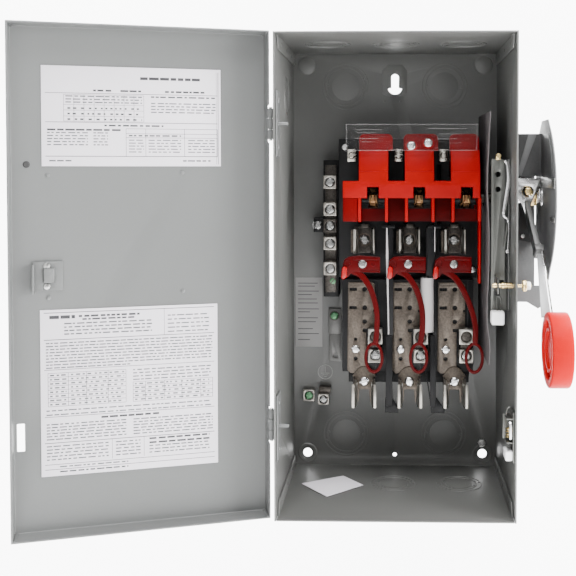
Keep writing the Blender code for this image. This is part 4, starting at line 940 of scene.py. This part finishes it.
bar += [(b, GREEN) for b in screw((-60.6, -27.6, -17.0), r=3.6, h=1.6, spin=0.9)]
piece("neutral_lugs", "cabinet", TIN_DARK, bar, ["neutral_bar"])
back_y = -STEEL - 0.3
strap = [shape(prism("y", [(-66.5, -48), (-66.5, -73.5), (-53.8, -73.5), (-53.8, -48)], back_y - 2.4, back_y - 0.1), bevel=0.35),
         shape(prism("y", [(-66.0, -72.5), (-66.5, -101.5), (-53.8, -101.5), (-54.2, -72.5)], back_y - 1.5, back_y), [cyl("y", (-60, -2, -95.5), 2.3, 12, 24)], bevel=0.3)]
strap += [(b, GREEN) for b in screw((-60.6, back_y - 2.3, -55), r=4.0, h=2.0, spin=0.5)]
strap.append((shape(lathe([(4.1, -0.1), (5.0, -0.1), (4.9, 0.4), (4.1, 0.5)], facing((0, -1, 0), (-60.6, back_y - 2.3, -55)), 28), bevel=0), TIN_DARK))
piece("bonding_strap", "cabinet", STRAP_GREY, strap, ["ground_strap"])
glug = [shape(box((-76.6, -15.6, -142.4), (-65.6, back_y - 1.0, -131.6)), [cyl("z", (-71.1, -7.5, -136), 2.7, 40, 24), cyl("y", (-71.1, -17, -137.2), 4.1, 5, 28)], bevel=0.6),
        (shape(box((-75.6, -11.0, -132.2), (-64.2, back_y, -125.4)), bevel=0.4), TIN_DARK)]
glug += [(b, STEEL_SCREW) for b in screw((-71.1, -14.9, -137.2), r=3.7, h=1.6, spin=0.15)]
piece("ground_connector", "cabinet", LUG, glug, ["ground_lug"])
gt = [shape(box((-92, -8, -141), (-80.5, back_y, -129)), [cyl("y", (-86.2, -9, -135), 4.3, 4, 28)], bevel=0.6)] + [(b, GREEN) for b in screw((-86.2, -7.4, -135), r=3.9, h=1.8, spin=1.2)]
piece("ground_point", "cabinet", LUG, gt, ["ground_terminal"])
symbol = [shape(box((-70.4, -STEEL - 0.34, -113), (-69.8, -STEEL - 0.2, -107)), bevel=0)]
for i, w in enumerate((4.2, 2.8, 1.3)):
    symbol.append(shape(box((-70.1 - w, -STEEL - 0.34, -114 - i * 1.7), (-70.1 + w, -STEEL - 0.2, -113.4 - i * 1.7)), bevel=0))
symbol.append(shape(lathe([(7.0, -0.1), (7.5, -0.1), (7.5, 0.16), (7.0, 0.16)], facing((0, -1, 0), (-70.1, -STEEL - 0.2, -112.5)), 40), bevel=0))
piece("ground_mark", "cabinet", LABEL_GREY, symbol)

# ------------------------------------------------------------------ interlock inside the right wall
z_top = 101
plate_out = [(84.8, -33), (84.8, z_top), (93.2, z_top)] + arc(93.2, z_top - 3.8, 3.8, 80, 0, 6) + [(97.0, -9), (98.4, -10), (98.4, -33)]
br = [shape(prism("y", plate_out, -110, -108.5), [cyl("y", (90.5, -109, z), 2.5, 12, 24) for z in (87.6, 74.4)] + [box((90.4, -115, -8.3), (96.0, -105, -5.7)), box((87.5, -115, -20), (92.5, -105, -9.5))], bevel=0.35),
      # This wall strip takes the darkened enclosure grey as painted shade.
      (shape(box((IN - 1.5, -108, -33), (IN, -70, 101)), bevel=0.35), GREY_SHADED_INSIDE),
      shape(box((87.6, -134, -15), (89.1, -109, -2)), [cyl("x", (88, BOLT_Y, BOLT_Z), 2.7, 12, 24)], bevel=0.3)]
piece("interlock_plate", "cabinet", STEEL_DULL, br, ["mechanism_bracket"])
piece("lever_pivot", "cabinet", BRASS, [shape(lathe([(0, -1.5), (1.5, -1.5), (1.5, 2.0), (2.4, 2.2), (2.4, 3.6), (1.7, 4.2), (0, 4.2)], facing((0, -1, 0), (90.7, -109, 103.6)), 24), bevel=0),
      shape(box((88.6, -110.2, 100.4), (92.8, -108.6, 102.0)), bevel=0.3)])


def lever_band(points, widths, y0, y1):
    """A flat strip along (x, z) points that widens and narrows."""
    dense = smooth_path([(u, 0, v) for u, v in points], 6)
    n = len(dense) - 1
    left, right = [], []
    for i, p in enumerate(dense):
        a, b = dense[max(i - 1, 0)], dense[min(i + 1, n)]
        d = (b - a).normalized()
        t = i / n * (len(widths) - 1)
        k = min(int(t), len(widths) - 2)
        w = widths[k] + (widths[k + 1] - widths[k]) * (t - k)
        left.append((p.x - d.z * w / 2, p.z + d.x * w / 2))
        right.append((p.x + d.z * w / 2, p.z - d.x * w / 2))
    return shape(prism("y", left + right[::-1], y0, y1), bevel=0.45, seg=2, angle=50)


lever = [lever_band([(95.6, 99.4), (98.4, 96.5), (99.2, 89), (99.4, 82), (98.0, 72), (96.4, 62), (95.0, 53.2)], (2.4, 3.2, 3.6, 3.3, 2.6), -115.5, -112.4),
         lever_band([(95.0, 53.2), (95.6, 50.8), (98.6, 48.6), (99.0, 45.6)], (2.2, 1.8), -115.2, -112.6),
         (lever_band([(98.6, 47.2), (98.0, 40), (96.6, 30), (95.9, 22.8)], (1.6, 1.3), -115.0, -112.8), STEEL_DULL),
         (lever_band([(99.4, 46.2), (99.8, 38), (99.2, 28), (98.6, 20.6)], (1.3, 1.1), -114.6, -112.8), ZINC),
         shape(lathe([(0, -0.8), (1.5, -0.8), (1.5, 0.8), (0, 1.0)], facing((0, -1, 0), (98.4, -114.4, 20.0)), 20), bevel=0)]
piece("rocking_lever", "interlock_lever", BRIGHT, lever, ["interlock_lever"])
bolt = [shape(lathe([(0, -7.0), (1.5, -7.0), (1.8, -6.6), (1.8, 9.5), (1.3, 9.5), (1.3, 26.8), (0, 26.8)], facing((1, 0, 0), (90.6, BOLT_Y, BOLT_Z)), 28), bevel=0),
        shape(lathe([(0, -1.4), (2.5, -1.4), (2.8, -1.0), (2.8, 1.0), (2.5, 1.4), (0, 1.4)], facing((1, 0, 0), (93.0, BOLT_Y, BOLT_Z)), 28), bevel=0),
        shape(lathe([(0, -1.0), (2.2, -1.0), (2.3, 1.0), (0, 1.0)], facing((1, 0, 0), (86.0, BOLT_Y, BOLT_Z)), 28), bevel=0),
        shape(lathe([(0, -1.7), (4.7, -1.7), (5.2, -1.2), (5.2, 1.2), (4.7, 1.7), (0, 1.7)], facing((1, 0, 0), (111.4, BOLT_Y, BOLT_Z)), 6), bevel=0.2),
        (shape(lathe([(0, -1.7), (3.4, -1.7), (3.8, -1.3), (3.8, 1.3), (3.2, 1.8), (0, 1.8)], facing((1, 0, 0), (115.0, BOLT_Y, BOLT_Z)), 6), bevel=0.2), WHITE)]
piece("slide_bolt", "interlock_bolt", BRASS, bolt, ["interlock_bolt"])
piece("slide_spring", "interlock_bolt", BRASS, [shape(tube(helix((97.9, BOLT_Y, BOLT_Z), "x", 2.3, 6.4, 6, 16), 0.36, 8), bevel=0)], ["bolt_spring"])
hook = smooth_path([(90.2, -115.8, -33), (89.4, -115.8, -27.5), (88.9, -115.9, -23.0), (89.8, -116.2, -19.4), (92.2, -116.2, -20.6), (93.2, -116.0, -24.6), (92.8, -115.8, -29.5), (92.0, -115.8, -33)])
slider = [shape(box((84.0, -123, -44), (95.5, -111, -32)), bevel=1.8, seg=4), (shape(tube(hook, 0.7, 10), bevel=0), STEEL_DULL),
          (shape(tube([(89.8, -115.0, -20), (89.8, -113.0, -12)], 0.6, 10), bevel=0), STEEL_DULL)]
piece("white_slider", "interlock_slider", WHITE, slider, ["interlock_slider"])

# ------------------------------------------------------------------ handle outside the right wall
# The housing's front plate and its web take the darkened handle grey as painted shade.
hh = [shape(box((OUT, -127, -28), (OUT + 1.5, -15, 125)), [cyl("x", (OUT, SHAFT_Y, SHAFT_Z), 7.0, 10), cyl("x", (OUT, BOLT_Y, BOLT_Z), 4.2, 10)], bevel=0.4),
      (shape(box((OUT + 1, -62.5, 85.5), (136.5, -61, 125)), bevel=0.4), HANDLE_PAINT_SHADED),
      shape(box((OUT + 1, -62.5, 123.5), (136.5, -20, 125)), bevel=0.4),
      shape(box((OUT + 1, -90, -28), (118, -20, -26.5)), bevel=0.4),
      (shape(prism("y", [(OUT + 1, -26.5), (136.4, -26.5), (136.4, 86), (OUT + 1, 86)], -22, -20.5), bevel=0.3), HANDLE_PAINT_SHADED),
      shape(prism("y", [(OUT + 1, -13), (136.0, -13), (136.0, -30), (129, -34.0), (119, -28), (OUT + 1, -28)], -91.5, -90), bevel=0.4),
      (shape(prism("y", [(113, 86), (117.5, 86), (131.5, 124.5), (124, 124.5)], -63.4, -62.4), bevel=0.2), GREY_HANDLE)]
# A darker curved stop inside the housing, low behind the arm; its near-black colour is painted shade for the shadowed
# housing there.
stop = [(118, 56)] + [(118 + 17 * math.sin(math.radians(a)) * 0.9, 38 + 18 * math.cos(math.radians(a))) for a in range(0, 91, 15)] + [(133.4, 26), (130, 22), (118, 24)]
hh.append((shape(prism("y", stop, -40, -38), bevel=0.4), DARK))
for y, z in ((-120, 118), (-22, 118), (-120, -20), (-22, -20)):
    hh.append((shape(lathe([(0, 0), (3.0, 0), (2.6, 0.8), (1.5, 1.2), (0, 1.3)], facing((1, 0, 0), (OUT + 1.5, y, z)), 22), bevel=0), ZINC))
hh.append((shape(lathe([(0, 0), (2.0, 0), (1.7, 0.6), (0, 0.9)], facing((0, -1, 0), (122.5, -40, 28)), 20), bevel=0), ZINC))
piece("handle_box", "cabinet", GREY_HANDLE, hh, ["handle_housing"])
guard = arc(SHAFT_Y, SHAFT_Z, 77.0, 121, 233, 40) + [(-95, -8), (-50, -8), (-24, 20), (-24, 118), (-43, 126), (-58, 137), (-90, 137)]
# The guard's inner panel beside the front plate takes the same painted shade.
gd = [shape(prism("x", guard, 136.8, 138.3), [cyl("x", (137, SHAFT_Y, SHAFT_Z), 7.5, 12)], bevel=0.5),
      (shape(prism("x", [(-62, 86), (-62, 124), (-100, 124), (-116, 104), (-121, 86)], 136.1, 136.9), bevel=0.2), HANDLE_PAINT_SHADED),
      (shape(prism("x", [(-62, 75.5), (-62, 84.5), (-132.5, 84.5), (-133.0, 75.5)], 135.9, 136.9), bevel=0.25), ZINC),
      (shape(prism("x", [(-112, 46), (-112, 50.5), (-131, 50.5), (-131, 46)], 136.2, 136.9), bevel=0.25), ZINC)]
piece("guard_plate", "cabinet", GREY_HANDLE, gd, ["handle_guard"])
# The shaft and its plated yoke, with the notch beside the wall.
yoke_face = [(104.8, 83.5), (134.5, 83.5), (134.5, 74.5), (131.0, 72.0), (126.0, 60.0), (123.5, 49.0), (121.0, 49.0), (117.0, 60.0), (111.5, 70.0), (109.8, 62.0), (104.8, 62.0)]
yk = [(shape(lathe([(0, -29.8), (4.6, -29.8), (5, -29.4), (5, -6.0), (0, -6.0)], facing((1, 0, 0), (110.1, SHAFT_Y, SHAFT_Z)), 32), bevel=0), TIN_DARK),
      shape(lathe([(0, -6.2), (5, -6.2), (5, 29.4), (4.6, 29.8), (0, 29.8)], facing((1, 0, 0), (110.1, SHAFT_Y, SHAFT_Z)), 32), bevel=0),
      shape(box((106.5, -66, 75.5), (135.5, -50, 80.5)), bevel=0.6),
      shape(prism("y", yoke_face, -68.2, -66.4), [cyl("y", (122.9, -67, 71.5), 5.2, 8, 32), cyl("y", (107.0, -67, 71.5), 1.4, 8, 20)], bevel=0.4),
      shape(box((106.5, -65, SHAFT_Z), (108.5, -51, 78)), bevel=0.4), shape(box((133.5, -65, SHAFT_Z), (135.5, -51, 78)), bevel=0.4),
      (shape(lathe([(0, 0), (3.7, 0), (3.9, 0.5), (3.9, 4.0), (3.2, 4.6), (0, 4.6)], facing((0, -1, 0), (122.9, -67.6, 71.5)), 6), bevel=0.2), BRASS)]
piece("shaft_yoke", "handle", BRIGHT, yk, ["handle_shaft"])
piece("shaft_nut", "handle", BRASS, [shape(lathe([(5.3, -3), (7.2, -3), (8.0, -2.4), (8.0, 2.4), (7.2, 3), (5.3, 3)], facing((1, 0, 0), (129, SHAFT_Y, SHAFT_Z)), 6), bevel=0.2)], ["pivot_nut"])
ux, uz = GRIP_Y - SHAFT_Y, GRIP_Z - SHAFT_Z
reach = math.hypot(ux, uz)
ux, uz = ux / reach, uz / reach


def along(s, w):
    return SHAFT_Y + ux * s - uz * w, SHAFT_Z + uz * s + ux * w


def bar_between(s0, s1, xa, xb, w0, w1=None):
    """A bar along the arm whose x span goes from xa to xb and whose w span goes from w0 to w1."""
    w1 = w1 or w0

    def draw(bm):
        ends = []
        for s, (x0, x1), (wa, wb) in ((s0, xa, w0), (s1, xb, w1)):
            ends.append([bm.verts.new((x, *along(s, w))) for x, w in ((x0, wa), (x1, wa), (x1, wb), (x0, wb))])
        bm.faces.new(ends[0])
        bm.faces.new(ends[1][::-1])
        for i in range(4):
            j = (i + 1) % 4
            bm.faces.new((ends[0][j], ends[0][i], ends[1][i], ends[1][j]))
    return draw


arm = [shape(lathe([(5.3, -2), (9.5, -2), (9.5, 2), (5.3, 2)], facing((1, 0, 0), (122, SHAFT_Y, SHAFT_Z)), 36), bevel=0),
       shape(bar_between(6, 64, (119.6, 124.0), (124.6, 129.8), (-6, 6), (-6, 6)), [cyl("x", (122, SHAFT_Y, SHAFT_Z), 5.3, 12)], bevel=0.5),
       (shape(bar_between(58, 137, (129.2, 130.6), (130.2, 131.6), (-6, 6), (-5, 5)), bevel=0.4), BRIGHT),
       (shape(bar_between(58, 137, (130.9, 131.7), (131.9, 132.6), (-5, 6), (-4, 5)), bevel=0.3), TIN_DARK),
       (shape(bar_between(70, 136, (125.0, 129.2), (122.0, 130.2), (-6.0, -4.4), (-5.0, -3.6)), bevel=0.4), ZINC_SOFT),
       shape(bar_between(60, 66, (123.5, 131.6), (124.5, 131.8), (-7, 7), (-7, 7)), bevel=0.5),
       ]
piece("lever_arm", "handle", STEEL_MID, arm, ["handle_arm"])
# The round grip: a plain outer rim, and shallow concentric ribs on each face.
rim = [(0, -6.2), (7.5, -6.2), (8.0, -5.6), (15.4, -5.6), (16.0, -7.6), (18.0, -7.6), (18.6, -5.2), (23.6, -5.2), (24.4, -8.2), (25.4, -8.6), (29.4, -8.6), (30.6, -8.0), (31.0, -6.8),
       (31.0, 6.8), (30.6, 8.0), (29.4, 8.6), (25.4, 8.6), (24.4, 8.2), (23.6, 6.4), (18.6, 6.4), (18.0, 7.6), (16.0, 7.6), (15.4, 6.2), (0, 6.2)]
piece("red_handle_grip", "handle", RED_GRIP, [shape(lathe(rim, facing((1, 0, 0), (132.9, GRIP_Y, GRIP_Z)), 96), bevel=0)], ["handle_grip"], angle=28)

# ------------------------------------------------------------------ door latch
lb = [shape(box((IN - 1.5, -148, -157), (IN, -128, -114)), bevel=0.35), shape(box((94.5, -147, -120.5), (IN, -129, -119)), bevel=0.3),
      shape(box((94.5, -147, -140.8), (IN, -129, -139.3)), bevel=0.3), shape(box((93.0, -131, -140.8), (IN - 0.5, -129.5, -119)), bevel=0.3),
      (shape(box((93.5, -147.5, -155.5), (IN - 1.4, -131, -147.5)), bevel=1.2, seg=4), WHITE)]
piece("latch_plate", "cabinet", STEEL_DULL, lb, ["latch_bracket"])
piece("latch_coil", "cabinet", BRASS, [shape(tube(helix((98, -138.5, -133.5), "z", 3.1, 9.5, 4, 16), 0.55, 8), bevel=0)])
hoop = smooth_path([(96, -136, -122.5), (95.4, -138, -117), (96.3, -139, -112.6), (98.2, -139, -111.6), (100, -138, -113), (100.2, -137, -118), (100.2, -136, -121)])
piece("latch_hoop", "cabinet", STEEL_DULL, [shape(tube(hoop, 0.75, 10), bevel=0)])
tongue = [shape(prism("x", [(-148, -130 - 6.5), (-146, -138.5), (-134, -138.5), (-134, -121.5), (-146, -121.5), (-148, -123.5)], 96.8, 98.8), [cyl("x", (97, -143.5, LATCH_Z), 2.6, 10, 24)], bevel=0.35)]
piece("sliding_tongue", "latch_tongue", BRIGHT, tongue, ["latch_tongue"])

# ------------------------------------------------------------------ leaflet
corners = [(-88, -62), (-50, -40), (-30, -66), (-62, -96)]


def leaf_sheet(bm, steps=14):
    """A folded paper that lifts and curls towards its far corners."""
    a, b, c, d = (Vector(p) for p in corners)
    tops, bottoms = [], []
    for i in range(steps + 1):
        row_t, row_b = [], []
        for j in range(steps + 1):
            u, v = i / steps, j / steps
            p = a.lerp(b, u).lerp(d.lerp(c, u), v)
            lift = 0.35 * math.sin(u * math.pi) * math.sin(v * math.pi * 0.9) + 0.30 * u * u
            row_t.append(bm.verts.new((p.x, p.y, -205.3 + lift)))
            row_b.append(bm.verts.new((p.x, p.y, -205.75 + lift)))
        tops.append(row_t)
        bottoms.append(row_b)
    n = steps
    for i in range(n):
        for j in range(n):
            bm.faces.new((tops[i][j], tops[i + 1][j], tops[i + 1][j + 1], tops[i][j + 1]))
            bm.faces.new((bottoms[i][j], bottoms[i][j + 1], bottoms[i + 1][j + 1], bottoms[i + 1][j]))
    rim = [(i, 0) for i in range(n)] + [(n, j) for j in range(n)] + [(i, n) for i in range(n, 0, -1)] + [(0, j) for j in range(n, 0, -1)]
    for (i0, j0), (i1, j1) in zip(rim, rim[1:] + rim[:1]):
        bm.faces.new((tops[i0][j0], bottoms[i0][j0], bottoms[i1][j1], tops[i1][j1]))


piece("folded_leaflet", "cabinet", PAPER, [shape(leaf_sheet, bevel=0)], ["instruction_leaflet"], angle=60)

# ------------------------------------------------------------------ floor
floor_mesh = bpy.data.meshes.new("studio_floor")
fb = bmesh.new()
steps = []
for i in range(13):
    t = i / 12
    steps.append((0.9 + 0.9 * math.sin(t * math.pi / 2), -0.42 + 0.9 * (1 - math.cos(t * math.pi / 2))))
prof = [(-3.5, -0.42)] + steps + [(1.8, 3.6)]
rows = [[fb.verts.new((x, y, z)) for x in (-4.0, 4.0)] for y, z in prof]
for a, b in zip(rows, rows[1:]):
    fb.faces.new((a[0], a[1], b[1], b[0]))
bmesh.ops.recalc_face_normals(fb, faces=fb.faces)
fb.to_mesh(floor_mesh)
fb.free()
floor_mesh.shade_smooth()
floor_obj = bpy.data.objects.new("studio_floor", floor_mesh)
bpy.context.scene.collection.objects.link(floor_obj)
FLOOR = mat("pale_floor", (0.93, 0.93, 0.93), 0.85, var=0.01, vs=2, speck=0.01, ss=60, bump=0.02, bs=60)
floor_mesh.materials.append(FLOOR)
